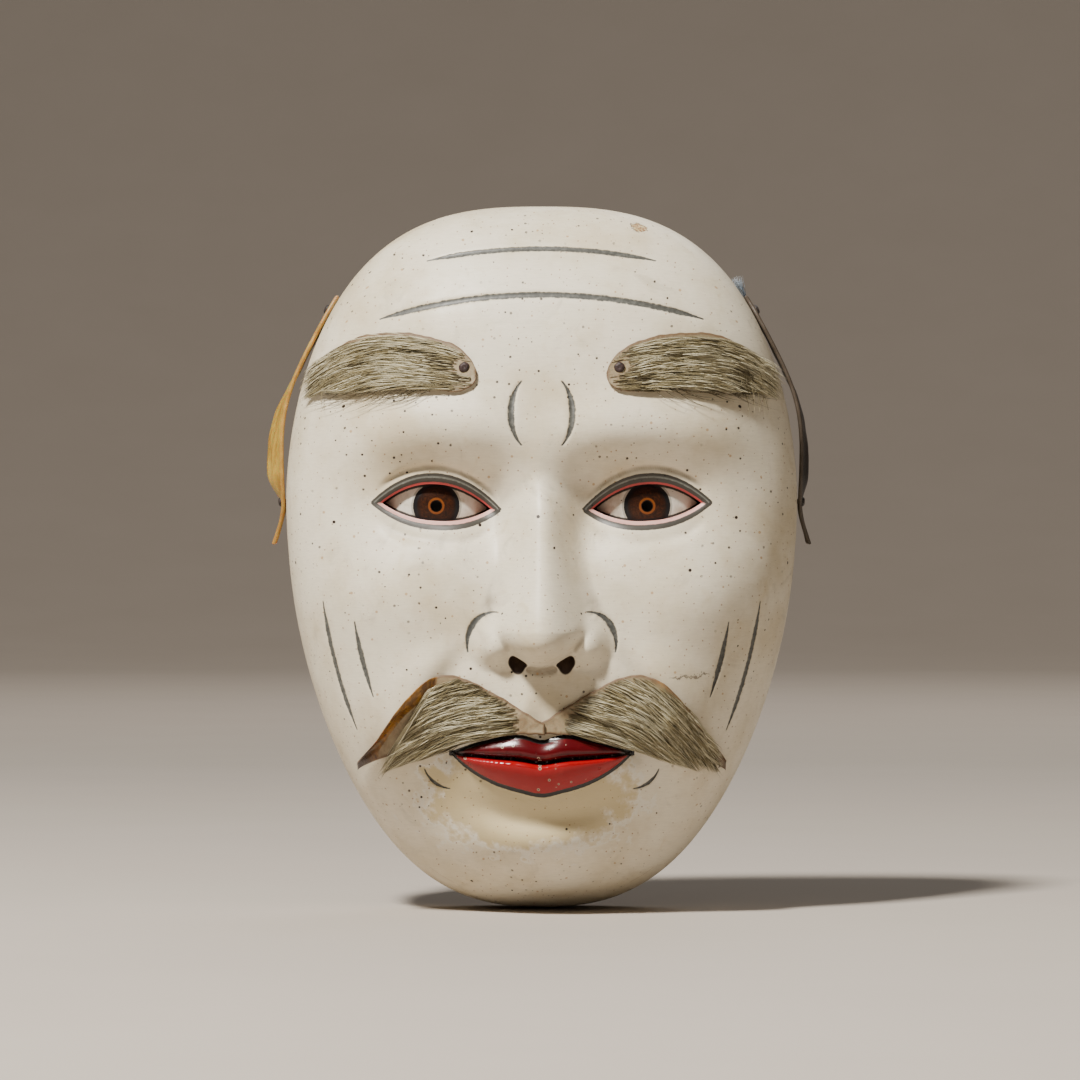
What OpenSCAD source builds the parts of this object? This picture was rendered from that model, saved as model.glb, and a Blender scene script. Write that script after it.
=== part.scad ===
// Carved mask with hide brows, moustache and side strips, all pinned on.
// Millimetres. +Z is up, the face looks along -Y, and y = 0 is the plane of the back rim.

/* [Mask] */
// Height of the mask
mask_h = 210; // [195:1:225]
// Width of the mask at the cheekbones
mask_w = 154; // [144:1:164]
// Depth of the straight side wall behind the face
skirt_d = 14; // [12:1:18]
// Rise of the face above the side wall
dome_d = 44; // [40:1:48]
// Thickness of the side wall
wall = 9; // [8:0.5:10]

/* [Face] */
// Half the distance between the eyes' centres
eye_x = 31; // [29:0.5:33]
// Height of the eyes' centres above the middle of the mask
eye_z = 15; // [12:0.5:18]
// Half width of the opening between the lids
lid_half_w = 16; // [14:0.5:17]
// Rise of the upper lid above the eye's centre
lid_up = 6.4; // [5:0.1:7]
// Fall of the lower lid below the eye's centre
lid_down = 4.4; // [4:0.1:5]
// Height of the line between the lips
mouth_z = -59; // [-61:0.5:-57]
// Half width of the mouth
mouth_half_w = 26; // [24:0.5:28]

/* [Eyes] */
// Radius of the eyeball's round front
ball_r = 22; // [20:0.5:23]
// Radius of the eyeball's seat in the wood
seat_r = 17.5; // [17:0.1:18]
// Radius of the pupil's hole
pupil_r = 1.6; // [1:0.1:2]

/* [Hide] */
// Thickness of the brow and moustache hides
hide_t = 0.9; // [0.6:0.1:1.4]
// Length of a brow strip
brow_len = 46; // [40:1:48]
// Height of a brow strip
brow_h = 16.5; // [12:0.5:17]
// Length of one half of the moustache
moustache_len = 54; // [44:1:56]
// Greatest height of the moustache's hide
moustache_h = 22; // [18:0.5:23]
// Thickness of a side strip
strip_t = 1.3; // [1:0.1:2]
// Width of a side strip, front to back
strip_w = 10; // [8:0.5:11]

/* [Fixings] */
// Radius of a pin's shank
pin_r = 0.8; // [0.6:0.1:1]
// Radius of a pin's head
pin_head_r = 1.6; // [1.3:0.1:2]
// Radius of the holes for the head cord
cord_hole_r = 2.25; // [2:0.05:3]
// Height of the cord holes
cord_hole_z = -12; // [-20:1:-10]

/* [Hidden] */
$fn = 48;
half_w = mask_w/2;
half_h = mask_h/2;
// The face's forms are laid out on a mask of 154 by 210 and stretch with it.
kx = mask_w/154;
kz = mask_h/210;
ball_d = 26;            // depth of the eyeball's centre
lid_t = 3;              // thickness of the lids over the eyeball
eye_back_d = 37;        // depth of the eyeball's flat back
nose_z = -22;           // height of the nose's tip
nose_root_d = 56.5;     // depth of the bridge between the eyes
nose_tip_d = 76;        // depth of the tip
nostril_r = 2.6;
pole_z = -20;           // where the face's rings close, in front and inside
spokes = 84;
rings = 26;
inner_rings = 12;
rim_over = 3;           // the wall runs this far past the rim, to be cut off flat
lift = 0.4;             // gap between a hide and the curved wood
left = -1;
right = 1;

// ---------- forms ----------
function clamp(v, low, high) = max(low, min(high, v));
function ease(a, b, v) = let(t = clamp((v-a)/(b-a), 0, 1)) t*t*(3-2*t);
function smax(a, b, k) = let(h = clamp(0.5+0.5*(a-b)/k, 0, 1)) b*(1-h)+a*h+k*h*(1-h);
function hill(x, z, x0, z0, rx, rz) = exp(-pow((x-x0)/rx, 2)-pow((z-z0)/rz, 2));
function mound(top, u, v, r, slope) = top-slope*(sqrt(u*u+v*v+r*r)-r);
// A dome of radius r over (x0, z0) that falls away steeply past its edge
function dome_over(x, z, x0, z0, r, centre) =
    let(q = (pow(x-x0, 2)+pow(z-z0, 2))/(r*r))
    q < 1 ? centre+r*sqrt(1-q) : centre-2*r*(sqrt(q)-1);

// ---------- outline ----------
function power(z) = z > 0 ? 2.75 : 2.45;
function narrowing(z) = 1-0.16*ease(25, -105, z/kz)-0.04*ease(20, 105, z/kz);
// A point of the outline, moved in from the edge by inset
function edge(angle, inset = 0) =
    let(c = cos(angle), s = sin(angle), n = power(s),
        z = sign(s)*pow(abs(s), 2/n)*(half_h-inset))
    [sign(c)*pow(abs(c), 2/n)*(half_w-inset)*narrowing(z), z];
// How far out a point lies: 0 at the middle, 1 on the outline
function reach(x, z, inset = 0) =
    let(n = power(z))
    pow(pow(abs(x)/((half_w-inset)*narrowing(z)), n)+pow(abs(z)/(half_h-inset), n), 1/n);

// ---------- depth of the face in front of the rim ----------
function bulge(t) = pow(max(0, 1-pow(t, 2.5)), 0.5);
function skull(x, z, t) =
    skirt_d+dome_d*bulge(t)
    +2.5*hill(x, z, 0, 70, 48, 30)-2.5*hill(x, z, 68, 42, 14, 26)
    +4.2*exp(-pow((z-38+0.004*pow(x-30, 2))/10, 2))*ease(72, 40, x)*(0.5+0.5*ease(2, 22, x))
    -7*hill(x, z, eye_x-1, eye_z+3, 22, 14)-5*hill(x, z, 14, 14, 8, 13)
    +5*hill(x, z, 47, -12, 20, 16)+4*hill(x, z, 41, -46, 20, 22)
    +6.5*hill(x, z, 0, -57, 29, 21)+9.5*hill(x, z, 0, -86, 22, 14);
function nose(x, z) =
    let(s = clamp((32-z)/54, 0, 1),
        rise = 0.35*s+0.75*pow(s, 1.5)-0.1*pow(s, 6),
        crest = nose_root_d+(nose_tip_d-nose_root_d)*rise-0.03*pow(max(0, z-12), 2),
        below = 0.12*pow(max(0, nose_z+1+0.035*x*x-z), 2))
    mound(crest, x, below, 5+4.5*s*s, 1.9);
function wing(x, z) = mound(64, x-13.2, (z > nose_z-4 ? 0.6 : 1)*(z-nose_z+4), 7.5, 2.7);
function lips(x, z) =
    let(w = max(0, 1-pow(x/mouth_half_w, 2)))
    3.5*pow(w, 0.6)*exp(-pow((z-mouth_z+1.5)/7, 2));
function face_depth(px, pz) =
    let(x = abs(px)/kx, z = pz/kz, t = min(1, reach(px, pz)),
        lids = dome_over(x, z, eye_x, eye_z, ball_r+lid_t, ball_d),
        head = smax(skull(x, z, t), lids, 2))
    smax(smax(head, nose(x, z), 5), wing(x, z), 4)+lips(x, z);
function hollow_depth(px, pz) =
    let(x = abs(px)/kx, z = pz/kz, t = min(1, reach(px, pz, wall)))
    skirt_d+(dome_d-8)*bulge(t)-11*hill(x, z, eye_x-3, eye_z+1, 25, 20)+9*hill(x, z, 0, -20, 10, 14);

// ---------- meshes ----------
// Closed skin over rings of n points each, from one pole to the other
module ring_skin(first_pole, ring_list, last_pole) {
    n = len(ring_list[0]);
    m = len(ring_list);
    points = [first_pole, for (r = ring_list) each r, last_pole];
    function id(r, k) = 1+r*n+k%n;
    faces = [
        for (k = [0:n-1]) [0, id(0, k), id(0, k+1)],
        for (r = [0:m-2]) for (k = [0:n-1]) each [
            [id(r, k), id(r+1, k), id(r+1, k+1)],
            [id(r, k), id(r+1, k+1), id(r, k+1)]],
        for (k = [0:n-1]) [1+m*n, id(m-1, k+1), id(m-1, k)]];
    polyhedron(points, faces);
}
// Closed sheet: place(u, v, level) gives its lower side at level 0 and its upper side at level 1
module sheet(nu, nv, place) {
    points = [for (level = [0, 1]) for (i = [0:nu]) for (j = [0:nv]) place(i/nu, j/nv, level)];
    function id(level, i, j) = (level*(nu+1)+i)*(nv+1)+j;
    function quad(a, b, c, d) = [[a, b, c], [a, c, d]];
    faces = [
        for (i = [0:nu-1]) for (j = [0:nv-1]) each concat(
            quad(id(0, i, j), id(0, i, j+1), id(0, i+1, j+1), id(0, i+1, j)),
            quad(id(1, i, j), id(1, i+1, j), id(1, i+1, j+1), id(1, i, j+1))),
        for (i = [0:nu-1]) each concat(
            quad(id(0, i, 0), id(0, i+1, 0), id(1, i+1, 0), id(1, i, 0)),
            quad(id(0, i, nv), id(1, i, nv), id(1, i+1, nv), id(0, i+1, nv))),
        for (j = [0:nv-1]) each concat(
            quad(id(0, 0, j), id(1, 0, j), id(1, 0, j+1), id(0, 0, j+1)),
            quad(id(0, nu, j), id(0, nu, j+1), id(1, nu, j+1), id(1, nu, j)))];
    polyhedron(points, faces);
}
// The right-hand piece, or its mirror image
module on_side(side) {
    if (side == right) children();
    else mirror([1, 0, 0]) children();
}

// ---------- shell ----------
function spoke_point(k, t, inset) =
    let(e = edge(360*k/spokes, inset))
    [t*e.x, pole_z+t*(e.y-pole_z)];
function ring_at(depth, t, inset = 0) =
    [for (k = [0:spokes-1]) let(p = spoke_point(k, t, inset)) [p.x, -depth(p), p.y]];
module raw_shell() {
    front = [for (i = [1:rings]) ring_at(function(p) face_depth(p.x, p.y), 1-pow(1-i/rings, 1.35))];
    inside = [for (i = [inner_rings:-1:1])
        ring_at(function(p) hollow_depth(p.x, p.y), 1-pow(1-i/inner_rings, 1.35), wall)];
    edge_rings = [ring_at(function(p) -rim_over, 1), ring_at(function(p) -rim_over, 1, wall)];
    ring_skin([0, -face_depth(0, pole_z), pole_z], concat(front, edge_rings, inside),
              [0, -hollow_depth(0, pole_z), pole_z]);
}
module lid_opening() {
    steps = 14;
    upper = [for (i = [0:steps]) let(u = 1-2*i/steps)
        [eye_x+u*lid_half_w, eye_z+0.9*u+lid_up*(1-pow(abs(u), 2.1))]];
    lower = [for (i = [1:steps-1]) let(u = 2*i/steps-1)
        [eye_x+u*lid_half_w, eye_z+0.9*u-lid_down*(1-pow(abs(u), 2.3))]];
    rotate([90, 0, 0]) linear_extrude(mask_h) polygon(concat(upper, lower));
}
module eye_form() {
    translate([eye_x, 0, eye_z]) intersection() {
        translate([0, -ball_d, 0]) sphere(ball_r, $fn = 96);
        rotate([90, 0, 0]) cylinder(h = ball_d+ball_r, r = seat_r, $fn = 96);
    }
}
module nostril() {
    translate([7, -50, -20]) rotate([143, 0, 0]) translate([0, 0, -2]) cylinder(h = 26, r = nostril_r);
}
module mask_shell() {
    color("ivory") difference() {
        raw_shell();
        translate([-mask_w, 0, -mask_h]) cube([2*mask_w, 2*rim_over, 2*mask_h]);
        for (side = [left, right]) on_side(side) {
            lid_opening();
            eye_form();
            nostril();
            translate([half_w/2, -skirt_d/2, cord_hole_z]) rotate([0, 90, 0])
                cylinder(h = half_w, r = cord_hole_r);
            brow_pins(shank_only = true);
            moustache_pins(shank_only = true);
            strip_tacks(shank_only = true);
        }
    }
}

// ---------- eyes ----------
// The pupil's hole falls towards the back, so it looks dark from straight in front
pupil_fall = 20;        // degrees
module eye(side) {
    color("white") on_side(side) difference() {
        eye_form();
        translate([0, -eye_back_d, -mask_h/2]) cube([mask_w, eye_back_d+1, mask_h]);
        translate([eye_x, -ball_d-ball_r, eye_z]) rotate([-90-pupil_fall, 0, 0])
            cylinder(h = mask_w/2, r = pupil_r, center = true);
    }
}

// ---------- pins ----------
// A round-headed pin: its head sits out of the wood, its shank goes in along +Y
pin_shank = 7;
pin_neck = lift+hide_t;
module pin(x, z, shank_only) {
    translate([x, -face_depth(x, z)-pin_neck, z]) {
        rotate([-90, 0, 0]) cylinder(h = pin_shank, r = pin_r);
        if (!shank_only) intersection() {
            sphere(pin_head_r);
            translate([-5, -5, -5]) cube([10, 5, 10]);
        }
    }
}
// The space that a row of pins takes in the hide and in the hair above it
module pin_room(places) {
    for (p = places) translate([p.x, -face_depth(p.x, p.y)-pin_neck, p.y]) {
        rotate([-90, 0, 0]) cylinder(h = pin_shank, r = pin_r);
        rotate([90, 0, 0]) cylinder(h = 3*pin_head_r, r = pin_head_r+0.1);
    }
}
brow_in_x = 19;
brow_z = 54;
function brow_middle(u) = brow_z-4+8*sin(180*clamp(0.62*u+0.14, 0, 1))-pow(u, 4);
function brow_x(u) = brow_in_x+u*brow_len;
brow_pin_places = [for (u = [0.08, 0.86]) [brow_x(u), brow_middle(u)+1]];
module brow_pins(shank_only = false) {
    for (p = brow_pin_places) pin(p.x, p.y, shank_only);
}
function moustache_x(u) = -1+u*moustache_len;
function moustache_middle(u) = -50.3+5.6*sin(180*u)-11*pow(u, 5);
moustache_pin_places = [for (u = [0.34, 0.7]) [moustache_x(u), moustache_middle(u)-1]];
module moustache_pins(shank_only = false) {
    for (p = moustache_pin_places) pin(p.x, p.y, shank_only);
}

// ---------- brows and moustache ----------
// Rounded inner end, tallest past the middle, tapering outer end
function brow_half_h(u) =
    let(inner = u < 0.2 ? sqrt(max(0.03, 1-pow(1-u/0.2, 2.2))) : 1,
        taper = 0.22*pow(max(0, 1-u/0.58), 2)+0.5*pow(max(0, (u-0.58)/0.42), 2.5))
    brow_h/2*inner*(1-taper);
function on_face(x, z, up) = [x, -face_depth(x, z)-up, z];
module brow_hide() {
    difference() {
        sheet(24, 8, function(u, v, level)
            on_face(brow_x(u), brow_middle(u)+(2*v-1)*brow_half_h(u), lift+level*hide_t));
        pin_room(brow_pin_places);
    }
}
hair_t = 2.2;
hair_over = 6;          // hair stands this far past the brow's outer end
hair_slope = 1.15;      // and leans back this much for each millimetre outwards
module brow_hair() {
    difference() {
        sheet(20, 8, function(u, v, level)
            let(x = brow_x(0.16)+u*(0.84*brow_len+hair_over),
                x_root = min(x, brow_x(0.8)),
                z = brow_middle(0.16+0.84*u)-3*u*u+(2*v-1)*brow_half_h(0.16+0.84*u),
                thick = hair_t*sqrt(max(0.04, 1-pow(2*v-1, 2)))*ease(0, 0.25, u)*(1-0.6*pow(u, 3)),
                depth = smax(face_depth(x, z), face_depth(x_root, z)-hair_slope*(x-x_root), 0.3))
            [x, -depth-(lift+hide_t+0.1+level*(0.15+thick)), z]);
        pin_room(brow_pin_places);
    }
}
// Narrow in the middle of the lip, tallest beside the corner of the mouth
function moustache_half_h(u) = moustache_h/2*(0.16+0.84*ease(-0.05, 0.6, u)*ease(1.05, 0.62, u));
// The left half's inner edge lies over the right half's
function overlap_lift(side, u) = side == left ? (hide_t+0.15)*ease(0.14, 0.03, u) : 0;
module moustache_hide(side) {
    difference() {
        sheet(24, 8, function(u, v, level)
            on_face(moustache_x(u), moustache_middle(u)+(2*v-1)*moustache_half_h(u),
                    lift+overlap_lift(side, u)+level*hide_t+1.5*pow(u, 6)));
        pin_room(moustache_pin_places);
    }
}
module moustache_hair(side) {
    difference() {
        sheet(20, 8, function(u, v, level)
            let(s = 0.13+0.87*u,
                bare = 0.3*ease(0.5, 0.85, s),
                z = moustache_middle(s)+(2*v*(1-bare)-1)*moustache_half_h(s)-3.5*pow(u, 3),
                thick = hair_t*sqrt(max(0.04, 1-pow(2*v-1, 2)))*(1-0.75*pow(u, 3))*ease(0, 0.2, u))
            on_face(moustache_x(s), z,
                    lift+hide_t+0.1+overlap_lift(side, s)+1.5*pow(s, 6)+level*(0.15+thick)));
        pin_room(moustache_pin_places);
    }
}

// ---------- side strips ----------
strip_top = 78;
strip_low = 4;
strip_y = 2;            // from the rim to the strip's back edge
function rim_angle(z) = asin(pow(abs(z)/half_h, power(z)/2)*sign(z));
// The outline's outward normal at height z, in x and z
function rim_normal(z) =
    let(a = edge(rim_angle(z)+0.5), b = edge(rim_angle(z)-0.5), d = a-b)
    [d.y, -d.x]/norm(d);
// A side strip bows out between its tacks and at its lower tip
function strip_bow(u) =
    2.2*pow(sin(180*clamp((u-0.08)/0.75, 0, 1)), 2)+3.2*pow(clamp((u-0.84)/0.16, 0, 1), 1.5);
function strip_half_w(u) = strip_w/2*(0.55+0.45*ease(0, 0.12, u))*(1-0.75*ease(0.7, 1, u));
function strip_z(u) = strip_top+(strip_low-strip_top)*u;
module side_strip() {
    sheet(28, 3, function(u, v, level)
        let(z = strip_z(u), e = edge(rim_angle(z)), n = rim_normal(z),
            out = lift+strip_bow(u)+level*strip_t)
        [e.x+n.x*out, -strip_y-strip_w/2+(2*v-1)*strip_half_w(u), e.y+n.y*out]);
}
module strip_tacks(shank_only = false) {
    for (u = [0.06, 0.83]) {
        z = strip_z(u);
        e = edge(rim_angle(z));
        n = rim_normal(z);
        out = lift+strip_t;
        translate([e.x+n.x*out, -strip_y-strip_w/2, e.y+n.y*out]) rotate([0, -atan2(n.y, n.x), 0]) {
            rotate([0, -90, 0]) cylinder(h = 6, r = pin_r);
            if (!shank_only) intersection() {
                sphere(pin_head_r);
                translate([0, -5, -5]) cube([5, 10, 10]);
            }
        }
    }
}
// A frayed bunch of fibres caught under the top of the right strip
module strip_tuft() {
    z = strip_z(0.02);
    e = edge(rim_angle(z));
    n = rim_normal(z);
    translate([e.x, -strip_y-strip_w/2, e.y]) rotate([0, -atan2(n.y, n.x), 0])
        translate([0.1, 0, 0]) sheet(8, 4, function(u, v, level)
            [level*(0.25+1.6*u*sqrt(max(0.05, 1-pow(2*v-1, 2))))-0.4*u, (2*v-1)*(1.2+2.6*u), 1+9*u]);
}

module left_eye() { eye(left); }
module right_eye() { eye(right); }
module left_brow_hide() { color("tan") on_side(left) brow_hide(); }
module right_brow_hide() { color("tan") on_side(right) brow_hide(); }
module left_brow_hair() { color("darkkhaki") on_side(left) brow_hair(); }
module right_brow_hair() { color("darkkhaki") on_side(right) brow_hair(); }
module left_brow_pins() { color("saddlebrown") on_side(left) brow_pins(); }
module right_brow_pins() { color("saddlebrown") on_side(right) brow_pins(); }
module left_moustache_hide() { color("peru") on_side(left) moustache_hide(left); }
module right_moustache_hide() { color("peru") on_side(right) moustache_hide(right); }
module left_moustache_hair() { color("darkkhaki") on_side(left) moustache_hair(left); }
module right_moustache_hair() { color("darkkhaki") on_side(right) moustache_hair(right); }
module left_moustache_pins() { color("saddlebrown") on_side(left) moustache_pins(); }
module right_moustache_pins() { color("saddlebrown") on_side(right) moustache_pins(); }
module left_side_strip() { color("goldenrod") on_side(left) side_strip(); }
module right_side_strip() { color("sienna") on_side(right) side_strip(); }
module left_strip_tacks() { color("saddlebrown") on_side(left) strip_tacks(); }
module right_strip_tacks() { color("saddlebrown") on_side(right) strip_tacks(); }
module right_strip_tuft() { color("slategray") strip_tuft(); }

mask_shell();
left_eye();
right_eye();
left_brow_hide();
right_brow_hide();
left_brow_hair();
right_brow_hair();
left_brow_pins();
right_brow_pins();
left_moustache_hide();
right_moustache_hide();
left_moustache_hair();
right_moustache_hair();
left_moustache_pins();
right_moustache_pins();
left_side_strip();
right_side_strip();
left_strip_tacks();
right_strip_tacks();
right_strip_tuft();
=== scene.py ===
"""Looks of the carved mask. Shapes are in mm, scaled to metres in mesh_object; the stage is in metres."""
import math

import bpy
import numpy as np
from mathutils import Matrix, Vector


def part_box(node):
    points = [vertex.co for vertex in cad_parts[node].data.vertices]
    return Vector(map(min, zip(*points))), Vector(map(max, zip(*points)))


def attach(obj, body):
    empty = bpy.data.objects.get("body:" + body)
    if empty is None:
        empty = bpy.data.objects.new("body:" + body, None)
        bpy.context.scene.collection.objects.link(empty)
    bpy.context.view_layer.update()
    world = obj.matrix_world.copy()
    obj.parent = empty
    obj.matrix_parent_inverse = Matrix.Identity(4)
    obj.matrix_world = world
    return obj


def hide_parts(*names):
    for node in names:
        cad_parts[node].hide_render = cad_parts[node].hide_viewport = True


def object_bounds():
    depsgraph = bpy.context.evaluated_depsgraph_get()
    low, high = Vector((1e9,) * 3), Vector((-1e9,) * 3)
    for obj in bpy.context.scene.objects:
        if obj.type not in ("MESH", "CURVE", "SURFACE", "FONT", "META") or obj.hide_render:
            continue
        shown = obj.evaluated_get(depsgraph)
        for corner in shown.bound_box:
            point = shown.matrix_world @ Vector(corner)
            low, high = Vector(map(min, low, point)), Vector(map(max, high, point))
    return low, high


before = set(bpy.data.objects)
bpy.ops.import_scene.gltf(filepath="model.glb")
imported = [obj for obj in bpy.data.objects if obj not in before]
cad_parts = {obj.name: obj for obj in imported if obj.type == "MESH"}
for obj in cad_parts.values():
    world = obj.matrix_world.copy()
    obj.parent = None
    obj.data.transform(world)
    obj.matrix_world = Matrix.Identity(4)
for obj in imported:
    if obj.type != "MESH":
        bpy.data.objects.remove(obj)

cad_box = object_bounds()
MM = 0.001
BODY = "root"
SIDES = {-1: "left", 1: "right"}

# ---------------------------------------------------------------- dimensions, as in the CAD, in mm
shell_low, shell_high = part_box("mask_shell")
HALF_H = (shell_high[2] - shell_low[2]) / MM / 2
HALF_W = 77.0
SKIRT_D, DOME_D, WALL = 14.0, 44.0, 9.0
EYE_X, EYE_Z = 31.0, 15.0
LID_HALF_W, LID_UP, LID_DOWN, LID_T = 16.0, 6.4, 4.4, 3.0
BALL_R, BALL_D, SEAT_R, PUPIL_R = 22.0, 26.0, 17.5, 1.6
EYE_BACK_D, PUPIL_FALL = 37.0, math.radians(20)
MOUTH_Z, MOUTH_HALF_W = -59.0, 26.0
UPPER_LIP, LOWER_LIP = 7.0, 9.5
NOSE_Z, NOSE_ROOT_D, NOSE_TIP_D = -22.0, 56.5, 76.0
POLE_Z = -20.0
LIFT, HIDE_T = 0.4, 0.9
BROW_IN_X, BROW_Z, BROW_LEN, BROW_H = 19.0, 54.0, 46.0, 16.5
MOUSTACHE_LEN, MOUSTACHE_H = 54.0, 22.0
STRIP_TOP, STRIP_LOW, STRIP_W, STRIP_T, STRIP_Y = 78.0, 4.0, 10.0, 1.3, 2.0
BROW_PINS, MOUSTACHE_PINS, STRIP_TACKS = (0.08, 0.86), (0.34, 0.7), (0.06, 0.83)
CORD_HOLE_R, CORD_HOLE_Z = 2.25, -12.0
NOSTRIL, NOSTRIL_R = ((7.0, -68.0, -42.0), (7.0, -46.0, -13.0)), 2.6


# ---------------------------------------------------------------- forms
def unit(v):
    return np.clip(v, 0, 1)


def ease(a, b, v):
    t = unit((v - a) / (b - a))
    return t * t * (3 - 2 * t)


def smax(a, b, k):
    h = unit(0.5 + 0.5 * (a - b) / k)
    return b * (1 - h) + a * h + k * h * (1 - h)


def hill(x, z, x0, z0, rx, rz):
    return np.exp(-((x - x0) / rx) ** 2 - ((z - z0) / rz) ** 2)


def mound(top, u, v, r, slope):
    return top - slope * (np.sqrt(u * u + v * v + r * r) - r)


def dome_over(x, z, x0, z0, r, centre):
    q = ((x - x0) ** 2 + (z - z0) ** 2) / (r * r)
    return np.where(q < 1, centre + r * np.sqrt(unit(1 - q)),
                    centre - 2 * r * (np.sqrt(np.maximum(q, 1)) - 1))


def power(z):
    return np.where(z > 0, 2.75, 2.45)


def narrowing(z):
    return 1 - 0.16 * ease(25, -105, z) - 0.04 * ease(20, 105, z)


def edge(angle, inset=0.0):
    """A point of the outline, moved in by inset."""
    c, s = np.cos(angle), np.sin(angle)
    n = power(s)
    z = np.sign(s) * np.abs(s) ** (2 / n) * (HALF_H - inset)
    return np.sign(c) * np.abs(c) ** (2 / n) * (HALF_W - inset) * narrowing(z), z


def reach(x, z, inset=0.0):
    """0 in the middle, 1 on the outline."""
    n = power(z)
    across = np.abs(x) / ((HALF_W - inset) * narrowing(z))
    return (across ** n + (np.abs(z) / (HALF_H - inset)) ** n) ** (1 / n)


def bulge(t):
    return np.sqrt(np.maximum(0, 1 - t ** 2.5))


def skull(x, z, t):
    return (SKIRT_D + DOME_D * bulge(t)
            + 2.5 * hill(x, z, 0, 70, 48, 30) - 2.5 * hill(x, z, 68, 42, 14, 26)
            + 4.2 * np.exp(-((z - 38 + 0.004 * (x - 30) ** 2) / 10) ** 2) * ease(72, 40, x)
            * (0.5 + 0.5 * ease(2, 22, x))
            - 7 * hill(x, z, EYE_X - 1, EYE_Z + 3, 22, 14) - 5 * hill(x, z, 14, 14, 8, 13)
            + 5 * hill(x, z, 47, -12, 20, 16) + 4 * hill(x, z, 41, -46, 20, 22)
            + 6.5 * hill(x, z, 0, -57, 29, 21) + 9.5 * hill(x, z, 0, -86, 22, 14))


def nose(x, z):
    s = unit((32 - z) / 54)
    rise = 0.35 * s + 0.75 * s ** 1.5 - 0.1 * s ** 6
    crest = NOSE_ROOT_D + (NOSE_TIP_D - NOSE_ROOT_D) * rise - 0.03 * np.maximum(0, z - 12) ** 2
    below = 0.12 * np.maximum(0, NOSE_Z + 1 + 0.035 * x * x - z) ** 2
    return mound(crest, x, below, 5 + 4.5 * s * s, 1.9)


def wing(x, z):
    return mound(64, x - 13.2, np.where(z > NOSE_Z - 4, 0.6, 1.0) * (z - NOSE_Z + 4), 7.5, 2.7)


def eye_gap(x, z):
    """Height above or below the opening between the lids; negative inside it."""
    u = (x - EYE_X) / LID_HALF_W
    a = np.clip(np.abs(u), 0, 1.6)
    dz = z - EYE_Z - 0.9 * u
    return np.maximum(dz - LID_UP * (1 - a ** 2.1), -LID_DOWN * (1 - a ** 2.3) - dz)


def mouth_line(x):
    return MOUTH_Z + 1.6 * (x / MOUTH_HALF_W) ** 2 - 1.0 * np.exp(-(x / 5) ** 2)


def upper_lip(x):
    u = unit(x / MOUTH_HALF_W)
    return UPPER_LIP * (1 - u ** 2) * (1 - 0.16 * np.exp(-(x / 4) ** 2))


def lower_lip(x):
    return LOWER_LIP * unit(1 - unit(x / MOUTH_HALF_W) ** 2.2) ** 0.9


def lip_gap(x, z):
    """Height outside the lips' outline; negative on the lips."""
    dz = z - mouth_line(x)
    gap = np.where(dz >= 0, dz - upper_lip(x), -dz - lower_lip(x))
    return np.maximum(gap, x - MOUTH_HALF_W - 0.4)


def lips(x, z):
    dz = z - mouth_line(x)
    env = unit(1 - (x / (MOUTH_HALF_W + 1)) ** 2)
    vu = np.clip(dz / np.maximum(upper_lip(x), 0.3), 0, 2)
    vl = np.clip(-dz / np.maximum(lower_lip(x), 0.3), 0, 2)
    upper = 2.7 * np.sin(np.pi * unit(0.32 + 0.68 * vu)) + 0.8 * ease(1.25, 0.95, vu)
    lower = 3.6 * np.sin(np.pi * unit(0.28 + 0.72 * vl)) + 0.8 * ease(1.2, 0.95, vl)
    groove = 2.4 * env ** 0.4 * np.exp(-(dz / 0.8) ** 2)
    corners = 1.8 * hill(x, z, MOUTH_HALF_W + 1.5, MOUTH_Z + 1.8, 3.5, 3.5)
    return env ** 0.6 * np.where(dz >= 0, upper, lower) - groove - corners


def fold_x(z):
    """The fold from the wing of the nose past the corner of the mouth."""
    return 21 + 15 * np.sin(np.pi / 2 * np.clip((-22 - z) / 44, 0, 1.2))


def creases(x, z):
    on = ease(-22, -34, z) * ease(-78, -52, z)
    d = (-1.4 * np.exp(-((x - fold_x(z)) / 4.2) ** 2) + 1.4 * np.exp(-((x - fold_x(z) - 8) / 7) ** 2)) * on
    gap = eye_gap(x, z)
    upper = ease(-1, 2, z - EYE_Z)
    ends = ease(19, 12, np.abs(x - EYE_X))
    d -= 0.9 * np.exp(-((gap - 5.0) / 1.1) ** 2) * upper * ends
    d -= 0.7 * np.exp(-((gap - 6.0) / 2.0) ** 2) * (1 - upper) * ends
    d -= 0.9 * np.exp(-(np.maximum(gap, 0) / 0.9) ** 2) * ease(21, 17, np.abs(x - EYE_X))
    groove = ease(-36, -47, z) * ease(-55, -49, z)
    width = 2.4 + 1.2 * ease(-38, -52, z)
    d += (-1.0 * np.exp(-(x / width) ** 2) + 0.4 * np.exp(-((x - width - 2.2) / 2) ** 2)) * groove
    return d - 2.6 * np.exp(-((z + 77 - 0.010 * x ** 2) / 4.5) ** 2) * ease(28, 6, x)


def broad_face(px, pz):
    """Depth of the face without its fine forms."""
    x, z = np.sqrt(px * px + 0.25), pz
    eyes = dome_over(x, z, EYE_X, EYE_Z, BALL_R + LID_T, BALL_D)
    head = smax(skull(x, z, np.minimum(1, reach(px, pz))), eyes, 2)
    return smax(smax(head, nose(x, z), 5), wing(x, z), 4)


def face_depth(px, pz):
    x = np.sqrt(px * px + 0.25)
    return broad_face(px, pz) + creases(x, pz) + lips(x, pz)


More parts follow.
